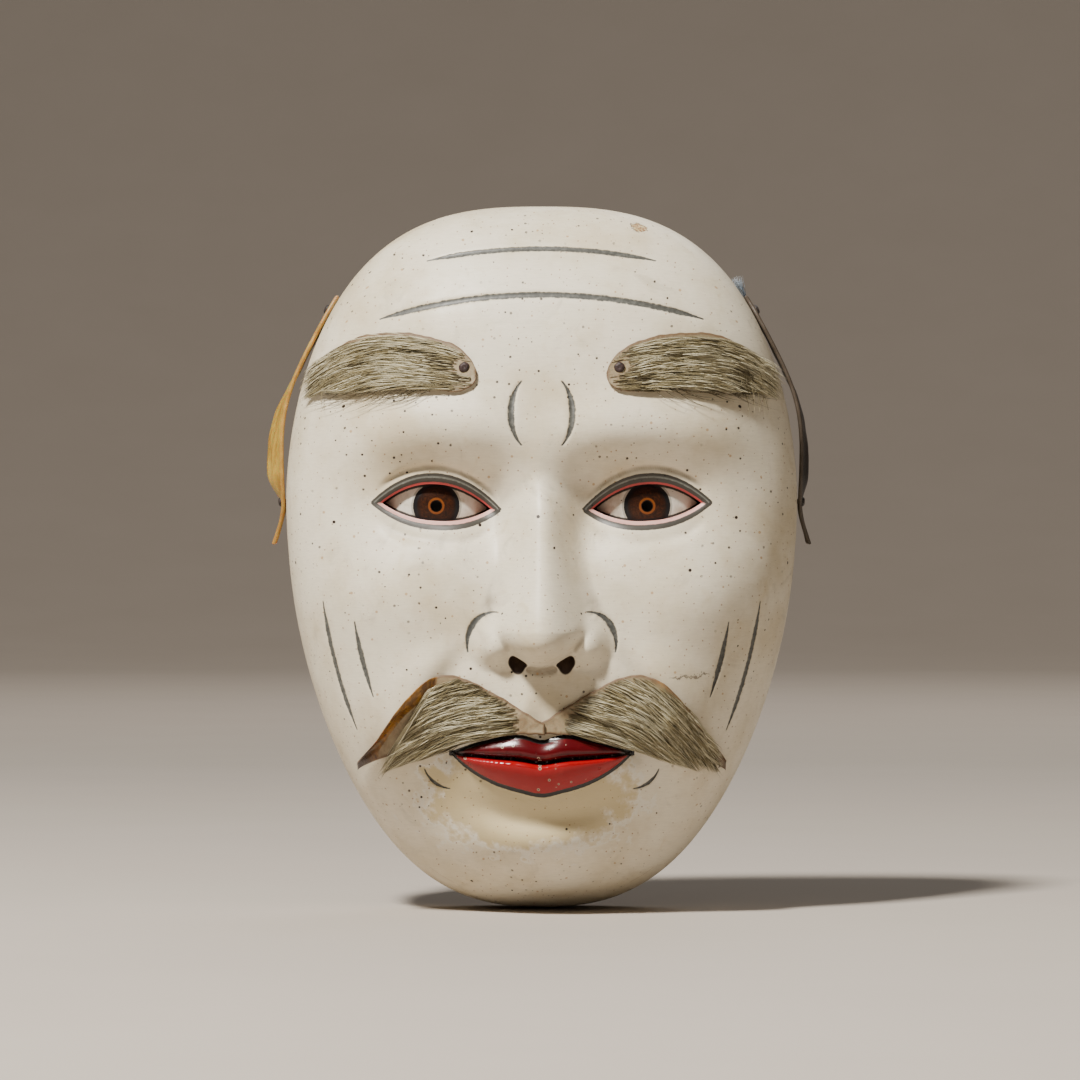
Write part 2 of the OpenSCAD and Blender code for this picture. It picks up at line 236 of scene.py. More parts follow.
def hollow_depth(px, pz):
    x = np.abs(px)
    t = np.minimum(1, reach(px, pz, WALL))
    return (SKIRT_D + (DOME_D - 8) * bulge(t) - 11 * hill(x, pz, EYE_X - 3, EYE_Z + 1, 25, 20)
            + 9 * hill(x, pz, 0, -20, 10, 14))


# ---------------------------------------------------------------- incised lines: own plain pattern
def line_points():
    """Each line as points along it, in front view."""
    s = np.linspace(0, 1, 160)
    lines = []
    for half, fifth in ((48, 3), (34, 4)):
        x = (2 * s - 1) * half
        lines.append((x, HALF_H / 3 + fifth * 2 * HALF_H / 15 - 0.003 * x ** 2))
    for side in (-1, 1):
        for inset, start, end in ((10, -5, -28), (19, -9, -24)):
            x, z = edge(np.radians(start + (end - start) * s), inset)
            lines.append((side * x, z))
        a = np.radians(-20 - 65 * s)
        lines.append((side * (MOUTH_HALF_W + 9 * np.cos(a)), MOUTH_Z + 9 * np.sin(a)))
        a = np.radians(-15 + 110 * s)
        lines.append((side * (13.6 + 8.2 * np.cos(a)), NOSE_Z - 3.5 + 9.5 * np.sin(a)))
        a = np.radians(-60 + 120 * s)
        lines.append((side * (2.5 + 6.5 * np.cos(a)), 42 + 11 * np.sin(a)))
    return lines


LINE_HALF_W = 0.92
LINE_NEAR = 3.5


def line_fields(x, z):
    """Signed distance to the nearest line over its half width, and how far inside its ends a point is."""
    across = np.full(x.shape, 9.0)
    inside = np.full(x.shape, -1.0)
    best = np.full(x.shape, 1e9)
    for lx, lz in line_points():
        beside = (x > lx.min() - 5) & (x < lx.max() + 5)
        near = np.flatnonzero(beside & (z > lz.min() - 5) & (z < lz.max() + 5))
        if not len(near):
            continue
        tx, tz = np.gradient(lx), np.gradient(lz)
        step = np.hypot(tx, tz)
        nx, nz = -tz / step, tx / step
        slope = broad_face(lx + nx, lz + nz) - broad_face(lx - nx, lz - nz)
        true_w = LINE_HALF_W / np.sqrt(1 + slope * slope / 4)
        run = np.concatenate(([0], np.cumsum(np.hypot(np.diff(lx), np.diff(lz)))))
        dx, dz = x[near, None] - lx[None], z[near, None] - lz[None]
        k = np.argmin(dx * dx + dz * dz, axis=1)
        row = np.arange(len(near))
        dx, dz = dx[row, k], dz[row, k]
        signed = (tx[k] * dz - tz[k] * dx) / step[k]
        along = run[k] + (tx[k] * dx + tz[k] * dz) / step[k]
        ends = np.minimum(along, run[-1] - along)
        far = np.hypot(dx, dz)
        use = far < best[near]
        where = near[use]
        best[where] = far[use]
        width = true_w[k] * (0.25 + 0.75 * ease(0, 9, ends))
        across[where] = (signed / width)[use]
        inside[where] = np.minimum(ends, LINE_NEAR - np.abs(signed))[use]
    return across, inside


# ---------------------------------------------------------------- meshes
def linked(name, data):
    """A new object in the scene."""
    obj = bpy.data.objects.new(name, data)
    bpy.context.scene.collection.objects.link(obj)
    return obj


def mesh_object(name, points, faces):
    """An object from points in mm."""
    mesh = bpy.data.meshes.new(name)
    mesh.from_pydata([tuple(p) for p in np.asarray(points) * MM], [], faces)
    return linked(name, mesh)


def add_piece(name, points, faces, material, slot, *nodes):
    """A piece that rides on the one body and stands for the named CAD nodes."""
    obj = mesh_object(name, points, faces)
    obj.data.validate()
    obj.data.materials.append(material)
    obj.data.shade_smooth()
    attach(obj, BODY)
    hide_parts(*nodes)
    return obj


def set_fields(obj, **fields):
    """Values at the points, which the materials read by name."""
    for name, values in fields.items():
        layer = obj.data.attributes.new(name, "FLOAT", "POINT")
        layer.data.foreach_set("value", np.asarray(values, dtype=np.float32))


def read_all(items, name, width=1, kind=float):
    """One property of all the items, as an array."""
    flat = np.empty(len(items) * width, dtype=kind)
    items.foreach_get(name, flat)
    return flat.reshape(-1, width) if width > 1 else flat


def cut(obj, cutters):
    """Take solids, given as points and faces, out of obj."""
    tools = [mesh_object("cutter", *cutter) for cutter in cutters]
    for tool in tools:
        step = obj.modifiers.new("cut", "BOOLEAN")
        step.operation, step.solver, step.object = "DIFFERENCE", "MANIFOLD", tool
    evaluated = obj.evaluated_get(bpy.context.evaluated_depsgraph_get())
    result = bpy.data.meshes.new_from_object(evaluated)
    obj.modifiers.clear()
    old, obj.data = obj.data, result
    bpy.data.meshes.remove(old)
    for tool in tools:
        bpy.data.objects.remove(tool)


def prism(outline, near, far):
    """A prism along Y from an outline in x and z, counter-clockwise in the front view."""
    n = len(outline)
    points = [(x, near, z) for x, z in outline] + [(x, far, z) for x, z in outline]
    faces = [tuple(range(n)), tuple(range(2 * n - 1, n - 1, -1))]
    faces += [(k, k + n, (k + 1) % n + n, (k + 1) % n) for k in range(n)]
    return points, faces


def rod(start, end, radius, sides=32):
    start, end = Vector(start), Vector(end)
    turn = (end - start).to_track_quat("Z", "Y")
    ring = [turn @ Vector((radius * math.cos(a), radius * math.sin(a), 0))
            for a in (2 * math.pi * k / sides for k in range(sides))]
    points = [tuple(start + r) for r in ring] + [tuple(end + r) for r in ring]
    faces = [tuple(range(sides - 1, -1, -1)), tuple(range(sides, 2 * sides))]
    faces += [(k, (k + 1) % sides, (k + 1) % sides + sides, k + sides) for k in range(sides)]
    return points, faces


# ---------------------------------------------------------------- material nodes
class Value:
    """A node's output, so that a sum of nodes is written as a sum."""

    def __init__(self, graph, socket):
        self.graph, self.socket = graph, socket

    def __add__(self, other):
        return self.graph.math("ADD", self, other)

    def __radd__(self, other):
        return self.graph.math("ADD", other, self)

    def __sub__(self, other):
        return self.graph.math("SUBTRACT", self, other)

    def __rsub__(self, other):
        return self.graph.math("SUBTRACT", other, self)

    def __mul__(self, other):
        return self.graph.math("MULTIPLY", self, other)

    def __truediv__(self, other):
        return self.graph.math("DIVIDE", self, other)

    def __abs__(self):
        return self.graph.math("ABSOLUTE", self)

    def ragged(self, noise, amount):
        """The value, moved up and down by noise."""
        return self + (noise - 0.5) * amount


class Graph:
    """A short way to write a node material; its methods return Values, lengths in mm."""

    def __init__(self, name):
        self.material = bpy.data.materials.new(name)
        self.material.use_nodes = True
        self.tree = self.material.node_tree
        self.shader = self.tree.nodes["Principled BSDF"]
        place = self.read("ShaderNodeTexCoord", "Object")
        self.p = self.vector("SCALE", place, scale=1 / MM)

    def node(self, kind, values=(), **settings):
        made = self.tree.nodes.new(kind)
        for key, value in settings.items():
            setattr(made, key, value)
        for key, value in dict(values).items():
            self.put(made.inputs[key], value)
        return made

    def read(self, kind, output, values=(), **settings):
        return Value(self, self.node(kind, values, **settings).outputs[output])

    def put(self, socket, value):
        if isinstance(value, Value):
            self.tree.links.new(value.socket, socket)
        elif socket.type == "RGBA" and len(value) == 3:
            socket.default_value = (*value, 1)
        else:
            socket.default_value = value

    def vector(self, operation, a, b=None, scale=None):
        made = self.node("ShaderNodeVectorMath", operation=operation)
        self.put(made.inputs[0], a)
        if b is not None:
            self.put(made.inputs[1], b)
        if scale is not None:
            self.put(made.inputs["Scale"], scale)
        return Value(self, made.outputs["Value" if operation in ("LENGTH", "DISTANCE") else "Vector"])

    def math(self, operation, a, b=None, c=None):
        made = self.node("ShaderNodeMath", operation=operation)
        for socket, value in zip(made.inputs, (a, b, c)):
            if value is not None:
                self.put(socket, value)
        return Value(self, made.outputs[0])

    def step(self, value, start, end, low=0.0, high=1.0):
        """Smooth change from low to high as value goes from start to end."""
        made = self.node("ShaderNodeMapRange", {"Value": value, "To Min": low, "To Max": high},
                         interpolation_type="SMOOTHSTEP")
        if start < end:
            made.inputs["From Min"].default_value, made.inputs["From Max"].default_value = start, end
        else:
            made.inputs["From Min"].default_value, made.inputs["From Max"].default_value = end, start
            self.put(made.inputs["To Min"], high)
            self.put(made.inputs["To Max"], low)
        return Value(self, made.outputs["Result"])

    def mix(self, factor, a, b):
        made = self.node("ShaderNodeMix", data_type="RGBA")
        for socket, value in ((made.inputs[0], factor), (made.inputs[6], a), (made.inputs[7], b)):
            self.put(socket, value)
        return Value(self, made.outputs[2])

    def coats(self, color, *layers):
        """color with each (mask, color) laid over it in turn."""
        for mask, over in layers:
            color = self.mix(mask, color, over)
        return color

    def noise(self, scale, detail=4.0, rough=0.55, stretch=None, warp=0.0):
        """Noise whose features are about 1/scale mm across."""
        where = self.vector("MULTIPLY", self.p, stretch) if stretch else self.p
        return self.read("ShaderNodeTexNoise", "Fac", {"Vector": where, "Scale": scale, "Detail": detail,
                                                       "Roughness": rough, "Distortion": warp})

    def attribute(self, name):
        return self.read("ShaderNodeAttribute", "Fac", attribute_name=name)

    def axis(self, letter, of=None):
        return self.read("ShaderNodeSeparateXYZ", letter, {"Vector": of or self.p})

    def joined(self, x, y, z):
        return self.read("ShaderNodeCombineXYZ", "Vector", {"X": x, "Y": y, "Z": z})

    def bump(self, height, distance_mm, strength=1.0, below=None):
        values = {"Height": height, "Distance": distance_mm * MM, "Strength": strength}
        if below is not None:
            values["Normal"] = below
        return self.read("ShaderNodeBump", "Normal", values)

    def bumps(self, *layers):
        """Bumps on bumps, each from its height, distance in mm and strength."""
        normal = None
        for layer in layers:
            normal = self.bump(*layer, normal)
        return normal

    def finish(self, color, roughness, normal=None, **values):
        self.put(self.shader.inputs["Base Color"], color)
        self.put(self.shader.inputs["Roughness"], roughness)
        if normal is not None:
            self.put(self.shader.inputs["Normal"], normal)
        for key, value in values.items():
            self.put(self.shader.inputs[key.replace("_", " ")], value)
        return self.material


IVORY = (0.80, 0.73, 0.58)
CREAM = (0.63, 0.54, 0.37)
GRIME_AND_SHADE = (0.30, 0.25, 0.18)
STAIN = (0.56, 0.44, 0.23)
PIT = (0.025, 0.014, 0.010)
RUST = (0.26, 0.12, 0.045)
LINE_GREY = (0.026, 0.030, 0.032)
BLACK = (0.010, 0.009, 0.010)
LID_GREY = (0.095, 0.100, 0.092)
LID_RED = (0.42, 0.018, 0.026)
LID_PINK = (0.62, 0.25, 0.22)
LIP_RED = (0.31, 0.001, 0.004)
UPPER_LIP_SHADE = (0.075, 0.001, 0.003)
WOOD = (0.20, 0.115, 0.055)
WOOD_DARK = (0.085, 0.045, 0.022)


def pits(g, cell_mm, radius_mm, share, shift=0.0):
    """Round spots in a share of a pattern's cells, as 0 to 1, seen from the front, the side or the top."""
    x, y, z = (g.axis(letter) for letter in "XYZ")
    normal = g.read("ShaderNodeTexCoord", "Normal")
    lean_x, lean_y, lean_z = (abs(g.axis(letter, normal)) for letter in "XYZ")
    sideways = g.math("GREATER_THAN", lean_x, lean_y)
    upwards = g.math("GREATER_THAN", lean_z, 0.72)
    across = x * (1.0 - sideways) + (y + 400.0) * sideways
    height = z * (1.0 - upwards) + y * upwards
    place = g.joined(across + shift, height, 0.0)
    cells = g.node("ShaderNodeTexVoronoi", {"Vector": place, "Scale": 1 / cell_mm}, voronoi_dimensions="2D")
    color, distance = (Value(g, cells.outputs[name]) for name in ("Color", "Distance"))
    red, green = (g.read("ShaderNodeSeparateColor", name, {"Color": color}) for name in ("Red", "Green"))
    size = g.step(red, 0.0, 1.0, 0.35, 1.0) * (radius_mm / cell_mm)
    spot = distance.ragged(g.noise(2.5, 3), 0.25 * radius_mm / cell_mm) / size
    return g.step(spot, 1.15, 0.85) * g.math("GREATER_THAN", green, 1 - share)


def shell_material():
    g = Graph("aged_ivory_paint")
    eye, lip, lip_z = g.attribute("eye_gap"), g.attribute("lip_gap"), g.attribute("lip_z")
    lid_z, across, ends = g.attribute("lid_z"), g.attribute("line_across"), g.attribute("line_inside")
    cavity, wood = g.attribute("cavity"), g.attribute("wood")
    fine = g.noise(0.9, 5)
    blotch = g.noise(0.035, 6, 0.6)
    smudge = g.noise(0.16, 6, 0.65, warp=0.6)
    brush = g.noise(1.2, 4, 0.6, stretch=(0.25, 0.25, 2.2), warp=0.3)
    soot = g.noise(0.055, 7, 0.68, warp=1.4)
    # darker in hollows: grime, and painted shade where the hollows lie in shadow
    hollow_grime_and_shade = g.step(cavity, 0.03, 0.6) * g.step(smudge, 0.25, 0.7, 0.35, 0.95)

    # darker towards the rim: handling grime, and painted shade where the sides turn away
    depth = g.axis("Y") * -1
    rim_grime_and_shade = g.step(depth, 34.0, 6.0) * g.step(smudge, 0.30, 0.68, 0.15, 1.0)

    # worn, yellowed patch round the lower lip, bleached at its edge
    patch_half_w, patch_half_h = 31, 16
    from_patch = g.vector("ADD", g.p, (3, 0, 70))
    away = g.vector("LENGTH", g.vector("MULTIPLY", from_patch, (1 / patch_half_w, 0, 1 / patch_half_h)))
    ragged = away.ragged(g.noise(0.17, 7, 0.62), 1.5)
    yellow = g.step(ragged, 1.06, 0.82)
    bleached = g.step(ragged, 1.16, 1.08) * g.step(ragged, 0.98, 1.04)

    # small brown chip near the top
    chip_x, chip_z = 29.0, 98.0
    chip_d = float(face_depth(np.array([chip_x]), np.array([chip_z]))[0])
    away = g.vector("DISTANCE", g.p, (chip_x, -chip_d, chip_z))
    chip = g.step(away + g.noise(0.8, 5, 0.7) * 5, 5.2, 4.7)

    # fine crack in the paint of one cheek
    crack_x, below_middle, half_length, half_width = 43.5, 40.2, 6.5, 0.34
    drift = (g.noise(0.35, 5, 0.75) - 0.5) * 6.5
    off = drift + g.math("MULTIPLY_ADD", g.axis("X"), -0.12, g.axis("Z") + below_middle)
    near = g.step(abs(g.axis("X") - crack_x), half_length, half_length - 2)
    crack = g.step(abs(off), half_width, 0.12) * near

    # wormholes, specks and ochre spots
    front = g.step(depth, SKIRT_D + 3, SKIRT_D + 6)
    sparse = g.step(g.noise(0.03, 3), 0.42, 0.60)
    holes = g.math("MAXIMUM", pits(g, 4.3, 0.36, 0.5) * sparse, pits(g, 15.0, 0.46, 0.45, 31.0)) * front
    specks = pits(g, 2.6, 0.24, 0.5, 77.0) * front
    ochre = pits(g, 8.0, 0.42, 0.4, 143.0) * front

    # nostril bores painted near black: painted shade inside the holes
    start, end = (Vector(point) for point in NOSTRIL)
    mirrored = g.joined(abs(g.axis("X")), g.axis("Y"), g.axis("Z"))
    from_start = g.vector("SUBTRACT", mirrored, tuple(start))
    from_axis = g.vector("CROSS_PRODUCT", from_start, tuple((end - start).normalized()))
    nostril_shade = g.step(g.vector("LENGTH", from_axis), NOSTRIL_R + 0.35, NOSTRIL_R + 0.05)

    # incised lines
    worn = abs(across).ragged(fine, 1.1)
    line = g.step(worn, 1.25, 0.75) * g.step(ends, -0.2, 0.4)

    # lids: grey band between black lines, red and pink inner edges
    wobble = eye.ragged(fine, 0.35)
    upper = g.step(lid_z, -0.3, 0.3)
    from_band = wobble - (2.5 + upper * 0.5)
    from_rim = wobble - (1.1 + upper * -0.5)
    line_w = 0.78 + upper * 0.42
    rim = g.mix(upper, g.mix(smudge, LID_PINK, (0.66, 0.42, 0.36)), LID_RED)
    lid = g.coats(g.mix(g.step(fine, 0.4, 0.7), LID_GREY, (0.155, 0.16, 0.14)),
                  (g.step(from_band, -0.78, -0.52), BLACK),
                  (g.step(from_rim - line_w, 0.12, -0.08), BLACK),
                  (g.step(from_rim, 0.10, -0.05), rim))

    # lips
    edge_gap = lip.ragged(fine, 0.4)
    lip_on = g.step(edge_gap, 0.90, 0.72)
    # the upper lip is painted darker than the lower one: painted shade under the nose
    red = g.coats(g.mix(g.step(lip_z, -0.4, 0.6), LIP_RED, UPPER_LIP_SHADE),
                  (g.step(smudge, 0.5, 0.9, 0.0, 0.35), (0.55, 0.05, 0.04)),
                  (pits(g, 3.6, 0.50, 0.40, 11.0), (0.42, 0.30, 0.22)),
                  (pits(g, 3.6, 0.22, 0.40, 11.0), PIT),
                  (g.step(abs(lip_z), 0.75, 0.35), (0.02, 0.004, 0.006)),
                  (g.step(edge_gap, -0.55, -0.30), BLACK))

    paint = g.coats(g.mix(g.step(blotch, 0.38, 0.72), IVORY, CREAM),
                    (g.step(smudge, 0.54, 0.80, 0.0, 0.42), STAIN),
                    (g.step(soot, 0.56, 0.78, 0.0, 0.40), GRIME_AND_SHADE),
                    (g.step(brush, 0.35, 0.75) * 0.16, (0.40, 0.34, 0.25)),
                    # hollows: grime and painted shade
                    (hollow_grime_and_shade, GRIME_AND_SHADE),
                    # rim: handling grime and painted shade
                    (rim_grime_and_shade * 0.50, (0.36, 0.27, 0.15)),
                    (yellow * 0.72, (0.55, 0.43, 0.20)),
                    (bleached * 0.45, (0.80, 0.78, 0.72)),
                    (chip, g.mix(g.step(g.noise(1.5), 0.4, 0.6), RUST, STAIN)),
                    (crack * 0.75, (0.13, 0.085, 0.05)),
                    (ochre * 0.7, (0.42, 0.24, 0.09)),
                    (specks * 0.7, RUST),
                    (holes, PIT),
                    # nostrils: painted shade
                    (nostril_shade, (0.035, 0.020, 0.014)),
                    (line * 0.94, g.mix(g.step(fine, 0.35, 0.75), LINE_GREY, LID_GREY)),
                    (g.step(from_band, 0.30, 0.15) * 0.94, lid),
                    (lip_on, red))

    # bare wood inside and where the rim is worn
    grain = g.noise(0.5, 6, 0.6, stretch=(1.0, 1.0, 0.12), warp=0.8)
    bare = g.coats(g.mix(g.step(grain, 0.3, 0.7), WOOD_DARK, WOOD),
                   (g.step(blotch, 0.45, 0.7, 0.0, 0.6), (0.05, 0.03, 0.018)))
    wood_on = g.math("MAXIMUM", wood, g.step(depth + smudge * 3.0, 2.2, 1.7))

    gloss = 0.34 + smudge * 0.22 + hollow_grime_and_shade * 0.2
    gloss = gloss + lip_on * (0.24 - gloss)
    chipped = g.math("MAXIMUM", chip, crack)
    normal = g.bumps((brush, 0.06, 0.5), (blotch, 0.9, 0.35), (holes * -1, 0.5, 0.9), (chipped * -1, 0.35, 1.0),
                     (line * -1, 0.25, 0.8), (grain * wood_on, 0.5, 0.8))
    return g.finish(g.mix(wood_on, paint, bare), gloss + wood_on * 0.3, normal, Specular_IOR_Level=0.42)


# ---------------------------------------------------------------- shell
# points in a ring up to each share: finest over the eyes and the mouth
RIM_SPOKES = 384
SPOKES = ((0.10, 96), (0.22, 192), (0.42, 384), (0.72, 768), (1.01, RIM_SPOKES))


def ring_sizes(count):
    """Each front ring's share of the way to the outline and its number of points."""
    for i in range(1, count + 1):
        t = 1 - (1 - i / count) ** 1.35
        yield t, next(spokes for limit, spokes in SPOKES if t < limit)


def bridge(faces, first, a, second, b):
    """Faces between a ring of a points and the next ring of b points: the same, twice or half as many."""
    if a == b:
        for k in range(a):
            j = (k + 1) % a
            faces.append((first + k, second + k, second + j, first + j))
        return
    coarse, fine, n = (first, second, a) if b > a else (second, first, b)
    for k in range(n):
        near, far = coarse + k, coarse + (k + 1) % n
        left, middle, right = (fine + (2 * k + i) % (2 * n) for i in range(3))
        new = [(near, left, middle), (near, middle, far), (far, middle, right)]
        faces += new if b > a else [face[::-1] for face in new]


def circle(x, z, radius, depth, sides):
    """A ring of points round the front-to-back direction."""
    angle = 2 * np.pi * np.arange(sides) / sides
    return np.stack([x + radius * np.cos(angle), np.full(sides, -depth), z + radius * np.sin(angle)], axis=1)


def bridge_all(faces, sizes):
    """Faces between neighbouring rings, the first of which starts at point 1."""
    start = 1
    for a, b in zip(sizes, sizes[1:]):
        bridge(faces, start, a, start + a, b)
        start += a


def closed_skin(front, rings, back):
    """A skin from a point in front through the rings to a point behind."""
    points = np.concatenate([[front], *rings, [back]])
    sizes = [len(ring) for ring in rings]
    pole, n, m = len(points) - 1, sizes[0], sizes[-1]
    faces = [(0, 1 + k, 1 + (k + 1) % n) for k in range(n)]
    bridge_all(faces, sizes)
    return points, faces + [(pole, pole - m + (k + 1) % m, pole - m + k) for k in range(m)]


def shell_mesh(rings):
    """The closed skin of the mask, from the middle of the face round the rim to the middle of the hollow."""
    circles = []

    def add(t, n, depth_of, inset=0.0):
        angle = 2 * np.pi * np.arange(n) / n
        ex, ez = edge(angle, inset)
        x, z = t * ex, POLE_Z + t * (ez - POLE_Z)
        circles.append(np.stack([x, -depth_of(x, z), z], axis=1))

    def flat(depth):
        return lambda x, z: np.full(x.shape, depth)

    def outside(x, z):
        across, inside = line_fields(x, z)
        groove = 0.5 * np.exp(-(across * 0.9) ** 2) * ease(0, 1.5, inside)
        return face_depth(x, z) - groove

    def gouged(x, z):
        strokes = np.abs(np.sin(0.42 * x + 1.1 * np.sin(0.07 * z) + 0.9 * np.sin(0.045 * x * 1.7)))
        dents = np.abs(np.sin(0.11 * z + 0.9 * np.sin(0.16 * x)))
        return hollow_depth(x, z) - 0.5 * strokes * (0.6 + 0.4 * dents)

    for t, n in ring_sizes(rings):
        add(t, n, outside)
    for share in np.linspace(1, 0, 11)[1:]:
        add(1, RIM_SPOKES, lambda x, z: 1.2 + (face_depth(x, z) - 1.2) * share)
    rim = [(0.5, 0.12), (0.12, 0.45)] + [(0.0, inset) for inset in (0.9, 3, 5, 7, 8.2)]
    rim += [(0.15, 8.7), (0.8, WALL)]
    for depth, inset in rim:
        add(1, RIM_SPOKES, flat(depth), inset)
    for depth in np.linspace(2.5, SKIRT_D, 6):
        add(1, 192, flat(depth), WALL)
    inner = 56
    for i in range(inner - 1, 0, -1):
        add(1 - (1 - i / inner) ** 1.35, 192 if i > 12 else 96, gouged, WALL)

    pole = np.zeros(1), np.full(1, POLE_Z)
    front, back = ([0, -float(depth_of(*pole)[0]), POLE_Z] for depth_of in (outside, gouged))
    return closed_skin(front, circles, back)


def lid_outline(side, steps=72):
    upper = [1 - 2 * i / steps for i in range(steps + 1)]
    lower = [2 * i / steps - 1 for i in range(1, steps)]
    points = [(EYE_X + u * LID_HALF_W, EYE_Z + 0.9 * u + LID_UP * (1 - abs(u) ** 2.1)) for u in upper]
    points += [(EYE_X + u * LID_HALF_W, EYE_Z + 0.9 * u - LID_DOWN * (1 - abs(u) ** 2.3)) for u in lower]
    return points if side > 0 else [(-x, z) for x, z in reversed(points)]


def eye_seat(side):
    """The barrel that the eye fills: a round rod whose front end is part of a ball."""
    count, sides, back_d = 40, 96, 12.0
    x = side * EYE_X
    profile = [SEAT_R * math.sin(math.pi / 2 * i / count) for i in range(1, count + 1)]
    rings = [circle(x, EYE_Z, r, BALL_D + math.sqrt(BALL_R ** 2 - r * r), sides) for r in profile]
    rings.append(circle(x, EYE_Z, SEAT_R, back_d, sides))
    return closed_skin([x, -(BALL_D + BALL_R), EYE_Z], rings, [x, -back_d, EYE_Z])


def mark_sharp(mesh, degrees):
    """Keep the edges between faces that meet at more than this angle crisp."""
    normals = read_all(mesh.polygons, "normal", 3)
    owner = np.repeat(np.arange(len(mesh.polygons)), read_all(mesh.polygons, "loop_total", kind=np.int64))
    loops = read_all(mesh.loops, "edge_index", kind=np.int64)
    order = np.argsort(loops, kind="stable")
    edge_ids, face = loops[order], owner[order]
    same = np.flatnonzero(edge_ids[1:] == edge_ids[:-1])
    turn = (normals[face[same]] * normals[face[same + 1]]).sum(axis=1)
    sharp = np.zeros(len(mesh.edges), dtype=bool)
    sharp[edge_ids[same[turn < math.cos(math.radians(degrees))]]] = True
    layer = mesh.attributes.get("sharp_edge") or mesh.attributes.new("sharp_edge", "BOOLEAN", "EDGE")
    layer.data.foreach_set("value", sharp)


def neighbour_mean(values, pairs, count):
    total = np.zeros((count, values.shape[1]))
    degree = np.zeros(count)
    for a, b in ((0, 1), (1, 0)):
        np.add.at(total, pairs[:, a], values[pairs[:, b]])
        np.add.at(degree, pairs[:, a], 1)
    return total / np.maximum(degree, 1)[:, None]


def cavity_field(mesh, points, rounds=14):
    """How far each point lies below its smoothed surroundings, in mm."""
    pairs = read_all(mesh.edges, "vertices", 2, np.int64)
    soft = points.copy()
    for _ in range(rounds):
        soft = neighbour_mean(soft, pairs, len(points))
    return ((soft - points) * read_all(mesh.vertices, "normal", 3)).sum(axis=1)


def make_shell():
    points, faces = shell_mesh(186)
    shell = add_piece("shell", points, faces, shell_material(), "painted_wood", "mask_shell")
    cutters = []
    for side in SIDES:
        nostril = [(side * x, y, z) for x, y, z in NOSTRIL]
        cord_hole = [(side * x, -SKIRT_D / 2, CORD_HOLE_Z) for x in (60, 85)]
        cutters += [prism(lid_outline(side), -90, -20), eye_seat(side), rod(*nostril, NOSTRIL_R),
                    rod(*cord_hole, CORD_HOLE_R, 48)]
    cut(shell, cutters)
    mesh = shell.data
    mesh.shade_smooth()
    mark_sharp(mesh, 38)
    at = read_all(mesh.vertices, "co", 3) / MM
    x, z, depth = at[:, 0], at[:, 2], -at[:, 1]
    ax = np.abs(x)
    across, inside = line_fields(x, z)
    cut_away = (reach(x, z) < 0.985) & (depth < broad_face(x, z) - 2.6)
    set_fields(shell, eye_gap=np.clip(eye_gap(ax, z), -5, 20),
               lid_z=z - EYE_Z - 0.9 * (ax - EYE_X) / LID_HALF_W,
               lip_gap=lip_gap(ax, z), lip_z=z - mouth_line(ax), line_across=across,
               line_inside=np.where(depth > SKIRT_D + 0.5, inside, -1),
               wood=cut_away | (reach(x, z, WALL) < 1.03) & (depth < SKIRT_D) | (depth < 0.05),
               cavity=cavity_field(mesh, at))


# ---------------------------------------------------------------- eyes
def eye_material():
    """White with a brown iris; radii are from the middle of the eye."""
    g = Graph("painted_eye")
    iris_r, glow_r, pupil_r = 6.4, 2.55, 1.85
    away = abs(g.axis("X")) - EYE_X
    radius = g.vector("LENGTH", g.joined(away, 0.0, g.axis("Z") - EYE_Z))
    from_ball = g.vector("LENGTH", g.joined(radius, g.axis("Y") + BALL_D, 0.0))
    cut_face = g.step(from_ball, BALL_R - 0.30, BALL_R - 0.45)
    fine = g.noise(1.4, 5)
    wobble = radius.ragged(fine, 0.25)
    # the white darkens towards the corners: painted shade where the lids overhang
    white = g.coats(g.mix(g.step(g.noise(0.25, 5), 0.4, 0.75), (0.72, 0.69, 0.60), (0.50, 0.44, 0.34)),
                    (g.step(radius, 10.5, 15.5, 0.0, 0.55), (0.26, 0.18, 0.13)))
    ray = g.noise(0.9, 5, 0.6, warp=1.5)
    iris = g.coats(g.mix(g.step(ray, 0.35, 0.7), (0.013, 0.005, 0.003), (0.050, 0.015, 0.005)),
                   (g.step(radius, 4.4, 5.6, 0.0, 0.75), (0.014, 0.007, 0.005)),
                   (g.step(wobble, glow_r, glow_r - 0.25), (0.17, 0.048, 0.009)),
                   (g.step(wobble, pupil_r, pupil_r - 0.15), (0.010, 0.006, 0.005)))
    ring = g.step(wobble, 7.0, 6.75) * g.step(wobble, 5.5, 5.8)
    halo = g.step(wobble, 7.5, 7.3) * g.step(wobble, 6.8, 7.0)
    contour = g.attribute("lid_gap").ragged(fine, 0.4)
    # the pupil's bore and the plug's sides are painted near black, as painted shade inside the hole; the back
    # face stays bare wood
    back = g.step(g.axis("Y") * -1, EYE_BACK_D + 1.4, EYE_BACK_D + 0.4)
    color = g.coats(white, (g.step(wobble, iris_r, iris_r - 0.2), iris), (ring, BLACK),
                    (halo * 0.55, (0.16, 0.16, 0.14)), (pits(g, 3.4, 0.22, 0.4) * 0.8, PIT),
                    (g.step(contour, -0.85, -0.60, 0.0, 0.92), BLACK),
                    (cut_face, g.mix(back, (0.010, 0.007, 0.006), g.mix(fine, WOOD_DARK, WOOD))))
    roughness = 0.24 + fine * 0.16 + cut_face * 0.5
    return g.finish(color, roughness, g.bump(fine, 0.05, 0.6), Specular_IOR_Level=0.28)


